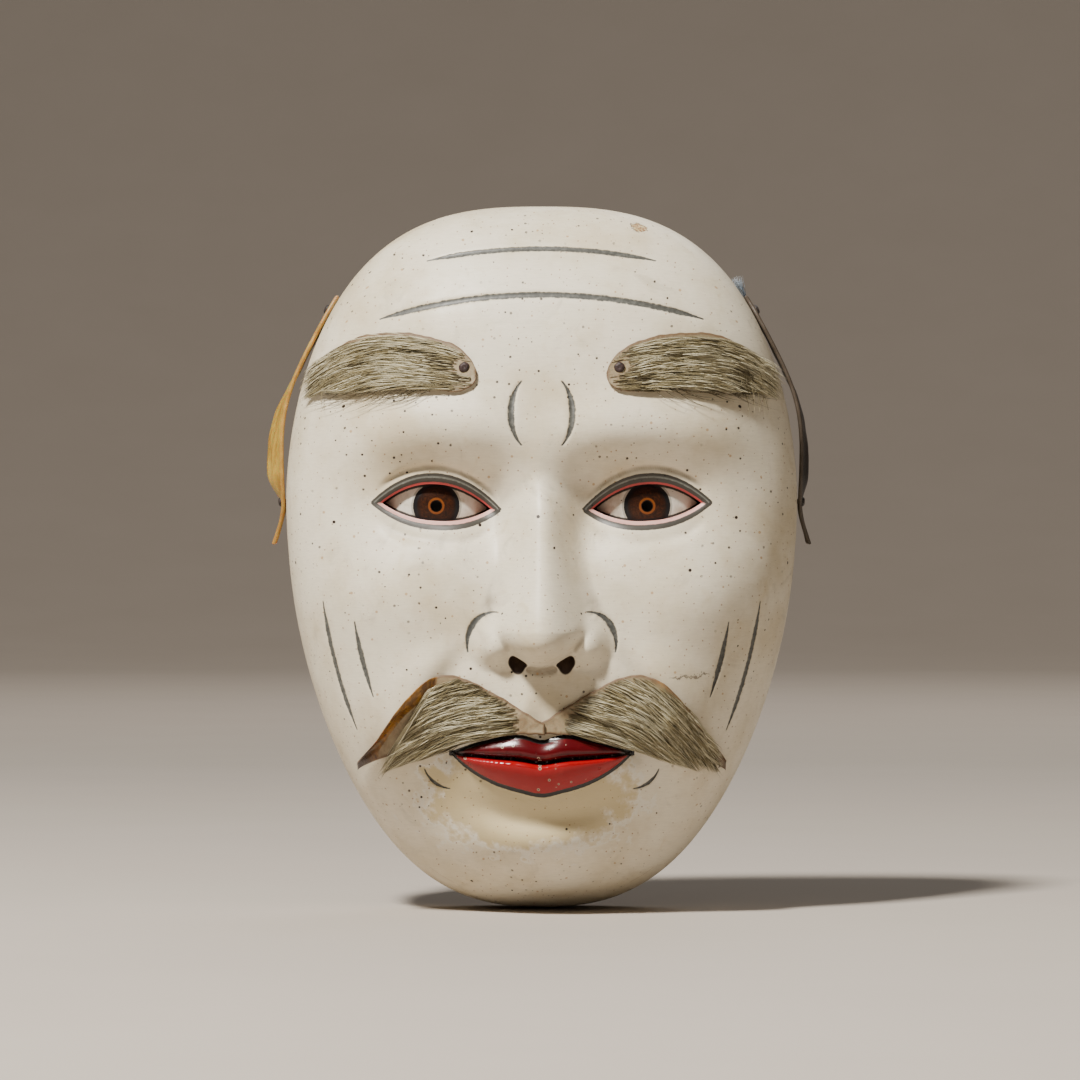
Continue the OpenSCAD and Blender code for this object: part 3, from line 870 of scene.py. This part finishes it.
def make_eye(side, material):
    """A round plug with a ball-shaped front; its pupil's hole falls towards the back."""
    name = SIDES[side] + "_eye"
    x, front_d, plug_r = side * EYE_X, BALL_D + BALL_R, SEAT_R - 0.1
    profile = []
    for r in np.concatenate([np.linspace(0.5, 8, 38), np.linspace(8.3, SEAT_R - 0.35, 26), [plug_r]]):
        groove = 0.14 * math.exp(-((r - 6.2) / 0.4) ** 2)
        profile.append((r, BALL_D + math.sqrt(BALL_R ** 2 - r * r) - 0.05 - groove))
    profile.append((plug_r, EYE_BACK_D + 0.3))
    profile += [(r, EYE_BACK_D) for r in (SEAT_R - 0.4, 12.0, 6.0)]
    rings = [circle(x, EYE_Z, r, depth, 192) for r, depth in profile]
    points, faces = closed_skin([x, -front_d + 0.05, EYE_Z], rings, [x, -EYE_BACK_D, EYE_Z])
    eye = add_piece(name + "_inlay", points, faces, material, "eye_inlay", name)
    run = 20 * Vector((0, math.cos(PUPIL_FALL), -math.sin(PUPIL_FALL)))
    middle = Vector((x, -front_d, EYE_Z))
    cut(eye, [rod(middle - run, middle + run, PUPIL_R, 48)])
    eye.data.shade_smooth()
    mark_sharp(eye.data, 40)
    at = read_all(eye.data.vertices, "co", 3) / MM
    set_fields(eye, lid_gap=np.clip(eye_gap(np.abs(at[:, 0]), at[:, 2]), -8, 20))


# ---------------------------------------------------------------- hides and hair
def brow_x(u):
    return BROW_IN_X + u * BROW_LEN


def brow_middle(u):
    return BROW_Z - 4 + 8 * np.sin(np.pi * unit(0.62 * u + 0.14)) - u ** 4


def brow_half_h(u):
    inner = np.sqrt(np.maximum(0.002, 1 - unit(1 - u / 0.2) ** 2.2))
    taper = 0.22 * np.maximum(0, 1 - u / 0.58) ** 2 + 0.5 * np.maximum(0, (u - 0.58) / 0.42) ** 2.5
    return BROW_H / 2 * inner * (1 - taper)


def moustache_x(u):
    return -1 + u * MOUSTACHE_LEN


def moustache_middle(u):
    return -50.3 + 5.6 * np.sin(np.pi * u) - 11 * u ** 5


def moustache_half_h(u):
    return MOUSTACHE_H / 2 * (0.16 + 0.84 * ease(-0.05, 0.6, u) * ease(1.05, 0.62, u))


def brow_pin_places():
    return [(brow_x(u), float(brow_middle(u)) + 1) for u in BROW_PINS]


def moustache_pin_places():
    return [(moustache_x(u), float(moustache_middle(u)) - 1) for u in MOUSTACHE_PINS]


def wave(t, seed, periods=(3, 7, 15)):
    """Smooth irregular values, about -1 to 1."""
    own = np.random.default_rng(seed)
    return sum(np.sin(2 * np.pi * (n * t + own.random())) / (1 + 0.5 * i) for i, n in enumerate(periods)) / 1.8


def under(x, z):
    """The face that a hide lies on: shallow grooves are bridged."""
    return np.maximum(face_depth(x, z), broad_face(x, z))


def add_sheet(name, material, slot, node, counts, place, length, half_w, mirrored, fields):
    """A sheet with rounded edges.

    place(u, v, up) is a point up thicknesses above the underside; fields(from_edge, u, v) gives the values
    that the material reads.
    """
    nu, nv = counts
    u = (1 - np.cos(np.pi * np.arange(nu + 1) / nu)) / 2 * 0.5 + np.arange(nu + 1) / nu * 0.5
    v = (1 - np.cos(np.pi * np.arange(nv + 1) / nv)) / 2
    u, v = np.meshgrid(u, v, indexing="ij")
    from_edge = np.minimum(np.minimum(u, 1 - u) * length, np.minimum(v, 1 - v) * (2 * half_w(u)))
    swell = 0.5 * np.sqrt(unit(1 - (1 - unit(from_edge / 0.65)) ** 2))
    keep = ~((u <= 0) | (u >= 1) | (v <= 0) | (v >= 1)).ravel()
    upper, lower = (place(u, v, up).reshape(-1, 3) for up in (0.5 + swell, 0.5 - swell))
    low_ids = np.arange(len(upper))
    low_ids[keep] = len(upper) + np.arange(keep.sum())
    faces = []
    for i in range(nu):
        for j in range(nv):
            a, b = i * (nv + 1) + j, (i + 1) * (nv + 1) + j
            faces.append((a, b, b + 1, a + 1))
            faces.append((low_ids[a], low_ids[a + 1], low_ids[b + 1], low_ids[b]))
    if mirrored:
        faces = [face[::-1] for face in faces]
    sheet = add_piece(name, np.concatenate([upper, lower[keep]]), faces, material, slot, node)
    both = [np.concatenate([w.ravel(), w.ravel()[keep]]) for w in (from_edge, u, v)]
    set_fields(sheet, **fields(*both))


def hide_material(name, tan, brown, edge_color):
    g = Graph(name)
    fine = g.noise(1.1, 6, 0.65)
    patchy = g.noise(0.16, 5, 0.6, warp=0.8)
    peel = g.attribute("peel")
    streak = g.noise(0.35, 5, 0.6, stretch=(1, 1, 0.4), warp=1.2)
    horn = g.coats(g.mix(g.step(streak, 0.35, 0.65), (0.33, 0.155, 0.016), (0.105, 0.040, 0.006)),
                   (g.attribute("tip"), (0.030, 0.011, 0.004)))
    color = g.coats(g.mix(g.step(patchy, 0.35, 0.7), tan, brown),
                    (g.step(fine, 0.5, 0.8, 0.0, 0.5), (0.075, 0.045, 0.028)),
                    (g.step(g.attribute("from_edge"), 1.1, 0.25, 0.0, 0.8), edge_color),
                    (g.step(peel + fine * 0.2, 0.45, 0.7), horn))
    normal = g.bumps((fine, 0.25, 0.6), (patchy, 0.5, 0.5))
    roughness = g.step(peel, 0.2, 0.9, 0.62, 0.30)
    return g.finish(color, roughness, normal, Subsurface_Weight=0.12, Subsurface_Scale=0.001)


def hair_material(name, dark, middle, light):
    g = Graph(name)
    tone, along = g.attribute("tone"), g.attribute("along")
    color = g.coats(g.mix(g.step(tone, 0.0, 0.55), dark, middle),
                    (g.step(tone, 0.45, 1.0), light),
                    (g.step(along, 0.6, 1.0, 0.0, 0.35), light),
                    # darker towards the roots: painted shade among the strands
                    (g.step(along, 0.25, 0.0, 0.0, 0.6), dark),
                    (g.noise(0.5, 3) * 0.25, dark))
    return g.finish(color, 0.36 + g.noise(3.0, 2) * 0.2, Specular_IOR_Level=0.35)


def strands_mesh(paths, radii):
    """Closed three-sided tapering tubes along paths, an array of (strand, point, xyz)."""
    count, k = paths.shape[:2]
    tangent = np.gradient(paths, axis=1)
    tangent /= np.linalg.norm(tangent, axis=2, keepdims=True) + 1e-9
    side = np.cross(tangent, np.array([0, -1.0, 0]))
    side /= np.linalg.norm(side, axis=2, keepdims=True) + 1e-9
    out = np.cross(side, tangent)
    taper = np.interp(np.linspace(0, 1, k), (0, 0.15, 0.6, 1), (0.7, 1, 0.85, 0.15))
    width = (radii[:, None] * taper[None])[..., None]
    rings = [paths + width * (math.cos(a) * side + math.sin(a) * out)
             for a in (math.pi / 2, math.pi * 7 / 6, math.pi * 11 / 6)]
    body = np.stack(rings, axis=2)[:, :-1].reshape(count, -1, 3)
    points = np.concatenate([body, paths[:, -1:]], axis=1)
    top, turns = 3 * (k - 1), ((0, 1), (1, 2), (2, 0))
    one = [(3 * i + a, 3 * i + b, 3 * i + b + 3, 3 * i + a + 3) for i in range(k - 2) for a, b in turns]
    one += [(top - 3 + a, top - 3 + b, top) for a, b in turns] + [(2, 1, 0)]
    size = top + 1
    faces = [tuple(size * n + i for i in face) for n in range(count) for face in one]
    along = np.concatenate([np.repeat(np.linspace(0, 1, k)[:-1], 3), [1.0]])
    return points.reshape(-1, 3), faces, np.tile(along, count), size


def add_hair(name, strands, side, material, slot, node):
    paths, radii, tone = strands
    points, faces, along, size = strands_mesh(paths * (side, 1, 1), radii)
    obj = add_piece(name, points, faces, material, slot, node)
    set_fields(obj, along=along, tone=np.repeat(tone, size))


def grow(root_x, root_z, lengths, heading, steps=8):
    """Front-view paths of strands; heading(x, z, s) is each one's direction at s along it, 0 outwards."""
    x, z = root_x.copy(), root_z.copy()
    track = [(x.copy(), z.copy())]
    for i in range(1, steps):
        a = heading(x, z, i / (steps - 1))
        x = x + lengths / (steps - 1) * np.cos(a)
        z = z + lengths / (steps - 1) * np.sin(a)
        track.append((x.copy(), z.copy()))
    return np.stack([t[0] for t in track], axis=1), np.stack([t[1] for t in track], axis=1)


def clumps(own, u, v, amount):
    """A common value for strands that grow close together."""
    cu, cv, value = own.random(amount), own.random(amount), own.normal(0, 1, amount)
    nearest = np.argmin((u[:, None] - cu) ** 2 * 9 + (v[:, None] - cv) ** 2, axis=1)
    return value[nearest]


def over_pins(x, z, spots):
    """How far hair is lifted over the heads of hidden pins."""
    return sum(1.35 * np.exp(-((x - px) ** 2 + (z - pz) ** 2) / 2.4 ** 2) for px, pz in spots)


def laid(x, z, root_x, slope, up):
    """Paths up mm above the hide; past root_x, where the hide ends, they run straight on at this slope."""
    past = slope * np.maximum(x - root_x, 0)
    floor = smax(under(x, z), under(np.minimum(x, root_x), z) - past, 0.6)
    return np.stack([x, -(floor + LIFT + HIDE_T + up), z], axis=2)


def layered(layer, clump, steps, droop, part):
    """How far strands in layers stand off along their length; clumps part from each other."""
    s = np.linspace(0, 1, steps)[None]
    up = 0.05 + layer[:, None] * ease(0, 0.45, s) * (1 - droop * s) + part * clump[:, None] * ease(0, 0.5, s)
    return np.maximum(up, 0.03)


def radius_and_tone(own, clump):
    n = len(clump)
    return own.uniform(0.07, 0.14, n), unit(0.55 + 0.15 * clump + own.normal(0, 0.28, n))


def joined_groups(groups):
    return tuple(np.concatenate(part) for part in zip(*groups))


def brow_hair_paths(seed, count, wisps):
    own = np.random.default_rng(seed)
    u = 0.02 + 0.98 * own.random(count) ** 0.95
    v = own.uniform(-0.97, 0.86, count)
    to_pin = np.hypot(brow_x(u) - brow_x(BROW_PINS[0]), v * brow_half_h(u) - 1.0)
    grows = own.random(count) < (0.28 + 0.72 * ease(0.04, 0.24, u)) * ease(1.8, 3.4, to_pin)
    u, v = u[grows], v[grows]
    n = len(u)
    clump = clumps(own, u, v, 110)
    turn = 0.06 * clump + own.normal(0, 0.055, n) - 0.02 - 0.07 * (v < -0.5)
    length = own.uniform(7.5, 13.5, n) * (1 - 0.25 * ease(0.75, 1, u)) * (0.35 + 0.65 * ease(0.0, 0.2, u))

    def heading(x, z, s):
        t = np.clip((x - BROW_IN_X) / BROW_LEN, 0, 1.2)
        slope = (4.96 * np.pi * np.cos(np.pi * unit(0.62 * t + 0.14)) - 4 * t ** 3) / BROW_LEN
        return np.arctan(slope) + turn - 0.28 * ease(0.7, 1.05, t) * s - 0.08 * s

    x, z = grow(brow_x(u), brow_middle(u) + v * brow_half_h(u), length, heading)
    layer = own.beta(1.3, 1.6, n) * 2.1 * (0.25 + 0.75 * ease(0.05, 0.3, u))
    t = (x - BROW_IN_X) / BROW_LEN
    low = brow_middle(t) - brow_half_h(unit(t)) - 0.3 - 0.9 * own.random(n)[:, None]
    z = np.where(z < low, low + 0.25 * (z - low), z)
    up = layered(layer, clump, x.shape[1], 0.25, 0.22) + over_pins(x, z, brow_pin_places()[1:])
    groups = [(laid(x, z, brow_x(0.8), 1.15, up), *radius_and_tone(own, clump))]

    # single long hairs below the brow
    m = 42
    su = own.uniform(0.25, 0.85, m)
    fall = own.uniform(-0.95, -0.45, m)
    x, z = grow(brow_x(su), brow_middle(su) - 0.85 * brow_half_h(su), own.uniform(8, 19, m),
                lambda x, z, s: fall + 0.75 * s)
    up = np.linspace(0.4, 0.9, x.shape[1])[None] * own.uniform(0.5, 1.6, m)[:, None]
    groups.append((laid(x, z, brow_x(0.9), 1.3, up), np.full(m, 0.085), own.uniform(0, 0.2, m)))

    # wisps that hang from the outer end
    su = own.uniform(0.82, 1.0, wisps)
    fall = own.normal(-0.75, 0.08, wisps)
    root_z = brow_middle(su) + own.uniform(-0.8, 0.5, wisps) * brow_half_h(su)
    length = own.uniform(5, 13, wisps) * own.uniform(0.6, 1, wisps)
    x, z = grow(brow_x(su), root_z, length, lambda x, z, s: fall - 0.85 * s ** 0.7)
    up = own.uniform(0.2, 1.6, wisps)[:, None]
    looks = own.uniform(0.07, 0.12, wisps), own.uniform(0.1, 0.7, wisps)
    groups.append((laid(x, z, brow_x(0.8), 1.15, up), *looks))

    # nothing lies across the inner pin's head
    paths, radii, tones = joined_groups(groups)
    pin_x, pin_z = brow_pin_places()[0]
    clear = np.hypot(paths[..., 0] - pin_x, paths[..., 2] - pin_z).min(axis=1) > 2.0
    return paths[clear], radii[clear], tones[clear]


def moustache_hair_paths(seed, count, side):
    own = np.random.default_rng(seed)
    steep = 0.10 if side < 0 else 0.28
    u = 0.14 + (0.60 if side < 0 else 0.80) * own.random(count) ** 0.9
    bare = (0.42 if side < 0 else 0.05) * ease(0.45, 0.72, u)
    v = own.random(count)
    keep = own.random(count) < 0.15 + 0.85 * ease(0.15, 0.36, u + 0.10 * (1 - v))
    u, v, bare = u[keep], v[keep], bare[keep]
    n = len(u)
    clump = clumps(own, u, v, 130)
    turn = 0.07 * clump + own.normal(0, 0.06, n)
    length = own.uniform(8, 15, n) * (1 if side < 0 else 1.2 - 0.75 * ease(0.5, 0.92, u))
    root_z = moustache_middle(u) + (2 * v * (1 - bare) * 0.97 - 0.98) * moustache_half_h(u)

    def heading(x, z, s):
        t = np.clip((x + 1) / MOUSTACHE_LEN, 0, 1.1)
        return turn - steep - 0.55 * ease(0.25, 0.9, t) - 0.10 * s

    x, z = grow(moustache_x(u), root_z, length, heading)
    t = (x + 1) / MOUSTACHE_LEN
    fringe = 0.2 + 0.9 * own.random(n)[:, None] + 4.2 * ease(0.55, 1.0, t)
    low = moustache_middle(np.clip(t, 0, 1.08)) - moustache_half_h(unit(t)) - fringe
    z = np.where(z < low, low + 0.15 * (z - low), z)
    if side < 0:
        # the left half's hair stops short of the hide's curled outer edge
        past = (x - 28.5) * 0.86 + (z + 33.5) * 0.50 - 1.6 * own.random(n)[:, None]
        shift = np.maximum(past, 0) * 0.9
        x, z = x - 0.86 * shift, z - 0.50 * shift
    layer = own.beta(1.3, 1.6, n) * 2.1
    up = layered(layer, clump, x.shape[1], 0.3, 0.25) + over_pins(x, z, moustache_pin_places())
    up += 1.5 * np.clip(t, 0, 1.05) ** 6
    groups = [(laid(x, z, moustache_x(0.86), 1.0, up), *radius_and_tone(own, clump))]

    # loose ends past the corner of the mouth
    m, low_v, high_v, short, long = (12, -0.8, 0.1, 7, 11) if side < 0 else (110, -0.3, 0.9, 8, 21)
    su = own.uniform(0.45, 0.72, m)
    root_z = moustache_middle(su) + own.uniform(low_v, high_v, m) * moustache_half_h(su)
    fall = -0.50 - 0.12 * own.random(m)
    x, z = grow(moustache_x(su), root_z, own.uniform(short, long, m), lambda x, z, s: fall - 0.42 * s)
    up = own.uniform(0.8, 2.4, m)[:, None]
    looks = own.uniform(0.05, 0.10, m), own.uniform(0.2, 1.0, m)
    groups.append((laid(x, z, moustache_x(0.86), 1.0, up), *looks))
    return joined_groups(groups)


def make_brow(side, hide, hair):
    name = SIDES[side]

    def place(u, v, up):
        ragged = 0.22 * wave(u, 11 + side) * (2 * v - 1)
        z = brow_middle(u) + (2 * v - 1) * brow_half_h(u) + ragged
        x = brow_x(u) + 0.15 * wave(v, 21 + side)
        wavy = 0.12 * (1 + wave(u, 31 + side, (2, 5))) * np.abs(2 * v - 1) ** 2
        return np.stack([side * x, -(under(x, z) + LIFT + wavy + up * HIDE_T), z], axis=-1)

    def fields(from_edge, u, v):
        return {"from_edge": from_edge, "peel": np.zeros(len(u)), "tip": np.zeros(len(u))}

    add_sheet(name + "_brow_skin", hide, "brow_hide", name + "_brow_hide", (110, 36), place, BROW_LEN,
              brow_half_h, side < 0, fields)
    strands = brow_hair_paths(100 + side, 3300, 70 if side > 0 else 10)
    add_hair(name + "_brow_strands", strands, side, hair, "straw_hair", name + "_brow_hair")


def make_moustache(side, hide, hair):
    name = SIDES[side]

    def peel_of(u, v):
        inward = (1 - v) * 2 * moustache_half_h(u)
        return ease(0.52, 0.66, u) * np.maximum(ease(7.5, 4.0, inward), ease(0.86, 0.96, u))

    def place(u, v, up):
        ragged = 0.30 * wave(u, 41 + side) * (2 * v - 1) * (1 - 0.6 * u)
        z = moustache_middle(u) + (2 * v - 1) * moustache_half_h(u) + ragged
        x = moustache_x(u) + 1.6 * ease(0.9, 1, u)
        over = (HIDE_T + 0.15) * ease(0.14, 0.03, u) if side < 0 else 0
        curl = (4.6 if side < 0 else 1.2) * ease(0.55, 0.8, u) * ease(0.45, 1.0, v) ** 1.4 + 1.5 * u ** 6
        wavy = 0.2 * (1 + wave(u, 51 + side, (2, 5))) * (2 * v - 1) ** 2
        depth = under(x, z) + LIFT + over + wavy + curl + up * HIDE_T
        return np.stack([side * x, -depth, z - 0.35 * curl * (v > 0.5) * ease(0.5, 1, v)], axis=-1)

    def fields(from_edge, u, v):
        peel = peel_of(u, v) * (1 if side < 0 else 0.45)
        return {"from_edge": from_edge, "peel": peel, "tip": ease(0.84, 1.0, u)}

    add_sheet(name + "_moustache_skin", hide, "moustache_hide", name + "_moustache_hide", (130, 44), place,
              MOUSTACHE_LEN, moustache_half_h, side < 0, fields)
    strands = moustache_hair_paths(200 + side, 3500, side)
    add_hair(name + "_moustache_strands", strands, side, hair, "straw_hair", name + "_moustache_hair")


# ---------------------------------------------------------------- pins and tacks
def pin_mesh(places):
    """Round-headed pins, each from (place, outward direction); the heads are a little uneven."""
    head = [(0.02, 0.80), (0.30, 0.82), (0.55, 0.90), (0.80, 0.92), (1.05, 0.84), (1.32, 0.62), (1.52, 0.34),
            (1.60, 0.08), (1.55, -0.04), (1.20, -0.06)]
    profile = head + [(0.80, -0.10), (0.80, -3.0), (0.78, -6.2), (0.42, -6.9), (0.02, -7.0)]
    sides = 28
    points, faces = [], []
    for index, (place, outward) in enumerate(places):
        turn = Vector(outward).to_track_quat("Z", "Y")
        first = len(points)
        for r, h in profile:
            for k in range(sides):
                a = 2 * math.pi * k / sides
                uneven = 1 + (0.05 * math.sin(2 * a + index) + 0.035 * math.sin(5 * a + 2 * index)) * (r > 0.9)
                tilted = h * (1 + 0.08 * math.sin(a + index))
                local = Vector((r * uneven * math.cos(a), r * uneven * math.sin(a), tilted))
                points.append(tuple(Vector(place) + turn @ local))
        for i in range(len(profile) - 1):
            bridge(faces, first + (i + 1) * sides, sides, first + i * sides, sides)
        faces.append(tuple(first + k for k in range(sides)))
        last = first + (len(profile) - 1) * sides
        faces.append(tuple(last + k for k in range(sides - 1, -1, -1)))
    return points, faces


def peg_material(name, light, dark):
    g = Graph(name)
    grain = g.noise(1.6, 5, 0.6, stretch=(1, 0.3, 1), warp=0.6)
    color = g.coats(g.mix(g.step(grain, 0.35, 0.7), light, dark),
                    (g.step(g.noise(0.9, 5), 0.55, 0.75, 0.0, 0.7), (0.012, 0.008, 0.006)))
    return g.finish(color, 0.42 + grain * 0.3, g.bump(grain, 0.25, 0.7))


def face_pins(side, spots, name, material):
    places = []
    for x, z in spots:
        depth = float(broad_face(np.array([x]), np.array([z]))[0]) + LIFT + HIDE_T
        places.append(((side * x, -depth, z), (0, -1, 0)))
    add_piece(name + "_set", *pin_mesh(places), material, "dark_peg", name)


# ---------------------------------------------------------------- side strips
def rim_point(z):
    """The outline at height z, and its outward normal, in x and z."""
    angle = np.arcsin(np.sign(z) * (np.abs(z) / HALF_H) ** (power(z) / 2))
    ax, az = edge(angle + 0.009)
    bx, bz = edge(angle - 0.009)
    x, _ = edge(angle)
    dx, dz = ax - bx, az - bz
    size = np.hypot(dx, dz)
    return x, dz / size, -dx / size


def strip_z(u):
    return STRIP_TOP + (STRIP_LOW - STRIP_TOP) * u


def strip_bow(u):
    tip = unit((u - 0.84) / 0.16)
    return 2.2 * np.sin(np.pi * unit((u - 0.08) / 0.75)) ** 2 + 3.2 * tip ** 1.5


def strip_half_w(u):
    return STRIP_W / 2 * (0.55 + 0.45 * ease(0, 0.12, u)) * (1 - 0.75 * ease(0.7, 1, u))


def make_strip(side, material):
    name = SIDES[side]
    flare = 4.6 if side < 0 else 2.0

    def place(u, v, up):
        z = strip_z(u)
        x, nx, nz = rim_point(z)
        twist = flare * ease(0.25, 0.66, u) * ease(0.86, 0.72, u) * v ** 1.2
        twist = twist + 1.1 * ease(0.5, 0.68, u) * ease(0.84, 0.74, u) * np.exp(-((v - 0.42) / 0.16) ** 2)
        wavy = 0.18 * wave(u, 61 + side, (4, 9)) * v + 0.5 * ease(0.9, 1.0, u) * (1 - v)
        out = LIFT + strip_bow(u) + twist + np.maximum(wavy, -0.2) + up * STRIP_T
        tail = 1 - 0.55 * ease(0.84, 1.0, u)
        y = -STRIP_Y - STRIP_W / 2 + (2 * v - 1) * strip_half_w(u) * tail * (1 + 0.05 * wave(u, 71 + side))
        return np.stack([side * (x + nx * out), y, z + nz * out], axis=-1)

    add_sheet(name + "_strip_skin", material, "pale_rawhide" if side < 0 else "dark_hide", name + "_side_strip",
              (150, 22), place, STRIP_TOP - STRIP_LOW, strip_half_w, side > 0,
              lambda from_edge, u, v: {"from_edge": from_edge, "u": u})
    tacks = []
    for u in STRIP_TACKS:
        z = np.array([strip_z(u)])
        x, nx, nz = (float(v[0]) for v in rim_point(z))
        out = LIFT + STRIP_T
        tacks.append(((side * (x + nx * out), -STRIP_Y - STRIP_W / 2, z[0] + nz * out), (side * nx, 0, nz)))
    return tacks


def strip_material(name, pale, deep, top, edge_color, soft):
    g = Graph(name)
    streak = g.noise(0.22, 6, 0.6, stretch=(1, 1.6, 0.35), warp=1.0)
    fine = g.noise(1.3, 5, 0.6)
    along = g.attribute("u")
    color = g.coats(g.mix(g.step(streak, 0.3, 0.7), pale, deep),
                    (g.step(fine, 0.45, 0.8, 0.0, 0.45), deep),
                    (g.step(g.noise(0.12, 6, 0.7, warp=1.5), 0.50, 0.72, 0.0, 0.55), deep),
                    (g.step(along, 0.14, 0.0, 0.0, 0.75), top),
                    (g.step(along, 0.80, 0.95, 0.0, 0.5), deep),
                    (g.step(g.attribute("from_edge"), 0.7, 0.2, 0.0, 0.65), edge_color))
    normal = g.bumps((fine, 0.2, 0.5), (streak, 0.5, 0.6))
    return g.finish(color, 0.33 + fine * 0.25, normal, Subsurface_Weight=soft, Subsurface_Scale=0.002)


def make_tuft(material):
    """Frayed fibres that stand up from under the top of the right strip."""
    own = np.random.default_rng(5)
    n, steps = 240, 9
    z = np.array([strip_z(0.02)])
    x, nx, nz = (float(v[0]) for v in rim_point(z))
    s = np.linspace(0, 1, steps)[None]
    length = own.uniform(4.0, 8.6, n)[:, None]
    lean_y = own.normal(0, 0.30, n)[:, None]
    lean_out = own.normal(0.04, 0.14, n)[:, None]
    curl = own.normal(0, 0.9, n)[:, None]
    up = 0.4 + length * s * (1 - 0.12 * s * np.abs(curl))
    across = own.uniform(-1.3, 1.3, n)[:, None] + lean_y * length * s
    across += 0.5 * curl * np.sin(4 * s + 9 * curl) * s
    out = 0.25 + own.uniform(0, 0.5, n)[:, None] + np.abs(lean_out) * length * s
    out += 0.25 * np.sin(6 * s + 7 * curl) * s
    px = x + nx * out - nz * up
    pz = z[0] + nz * out + nx * up
    paths = np.stack([px, -STRIP_Y - STRIP_W / 2 + across, pz], axis=2)
    strands = paths, own.uniform(0.05, 0.09, n), own.uniform(0.1, 1, n)
    add_hair("right_tuft_fibres", strands, 1, material, "grey_fibre", "right_strip_tuft")


# ---------------------------------------------------------------- camera and light
def place_camera():
    """Level, straight in front, from far enough away that the face isn't stretched."""
    distance, view_mm, above_middle = 1.6, 321.0, 5.0
    data = bpy.data.cameras.new("camera")
    camera = linked("camera", data)
    camera.location = (-0.0005, -distance - 0.03, above_middle * MM)
    camera.rotation_euler = (math.pi / 2, 0, 0)
    data.sensor_width = 36
    data.lens = 36 * distance / (view_mm * MM)
    data.clip_end = 50
    bpy.context.scene.camera = camera


def area_light(name, place, target, size, watts, color):
    data = bpy.data.lights.new(name, "AREA")
    data.size = size
    data.energy = watts
    data.color = color
    lamp = linked(name, data)
    lamp.location = place
    lamp.rotation_euler = (Vector(target) - Vector(place)).to_track_quat("-Z", "Y").to_euler()


def make_stage():
    """A pale floor that curves up far behind the object, all the way round."""
    low = float(cad_box[0][2]) - 0.0005
    sides = 96
    profile = [(0.4, 0.0), (1.0, 0.0), (2.0, 0.0), (3.0, 0.0)]
    profile += [(3.0 + 3.0 * math.sin(a), 3.0 - 3.0 * math.cos(a)) for a in np.radians(np.arange(5, 91, 5))]
    points = [(0, 0, low)]
    for r, h in profile:
        points += [(r * math.cos(2 * math.pi * k / sides), r * math.sin(2 * math.pi * k / sides), low + h)
                   for k in range(sides)]
    faces = [(0, 1 + k, 1 + (k + 1) % sides) for k in range(sides)]
    bridge_all(faces, [sides] * len(profile))
    mesh = bpy.data.meshes.new("floor")
    mesh.from_pydata(points, [], faces)
    mesh.flip_normals()
    mesh.shade_smooth()
    floor = linked("floor", mesh)
    g = Graph("floor")
    mesh.materials.append(g.finish(g.mix(g.noise(0.01), (0.46, 0.41, 0.36), (0.43, 0.38, 0.33)), 0.9))
    world = bpy.data.worlds.new("studio")
    world.use_nodes = True
    world.node_tree.nodes["Background"].inputs["Color"].default_value = (0.86, 0.80, 0.73, 1)
    world.node_tree.nodes["Background"].inputs["Strength"].default_value = 0.14
    bpy.context.scene.world = world
    area_light("key", (-0.70, -1.00, 1.55), (0, -0.04, 0), 0.24, 92, (1.0, 0.965, 0.90))
    area_light("fill", (1.5, -1.4, 0.1), (0, -0.04, 0), 1.2, 0.8, (0.95, 0.97, 1.0))
    area_light("back", (0.5, 1.7, 1.5), (0, 0.2, 0), 1.2, 10, (1.0, 0.98, 0.95))
    area_light("backdrop", (0, 1.4, 1.8), (0, 5.6, 1.0), 1.0, 26, (1.0, 0.90, 0.80))


place_camera()
make_stage()
make_shell()

eye_paint = eye_material()
hide = hide_material("bare_hide", (0.33, 0.26, 0.155), (0.21, 0.145, 0.075), (0.11, 0.055, 0.022))
hair = hair_material("straw_hair", (0.048, 0.033, 0.013), (0.40, 0.330, 0.175), (0.86, 0.80, 0.58))
peg = peg_material("dark_peg", (0.055, 0.030, 0.028), (0.018, 0.011, 0.011))
tack = peg_material("dark_tack", (0.040, 0.028, 0.022), (0.012, 0.010, 0.010))
rawhide = strip_material("pale_rawhide", (0.50, 0.335, 0.060), (0.26, 0.135, 0.018), (0.26, 0.22, 0.17),
                         (0.36, 0.20, 0.045), 0.35)
dark_hide = strip_material("dark_hide", (0.022, 0.014, 0.010), (0.007, 0.005, 0.004), (0.04, 0.03, 0.024),
                           (0.10, 0.075, 0.052), 0.03)
fibre = hair_material("grey_fibre", (0.06, 0.075, 0.095), (0.22, 0.28, 0.35), (0.60, 0.66, 0.72))
for side, name in SIDES.items():
    make_eye(side, eye_paint)
    make_brow(side, hide, hair)
    make_moustache(side, hide, hair)
    face_pins(side, brow_pin_places(), name + "_brow_pins", peg)
    face_pins(side, moustache_pin_places(), name + "_moustache_pins", peg)
    tacks = make_strip(side, rawhide if side < 0 else dark_hide)
    add_piece(name + "_strip_tack_set", *pin_mesh(tacks), tack, "dark_tack", name + "_strip_tacks")
make_tuft(fibre)
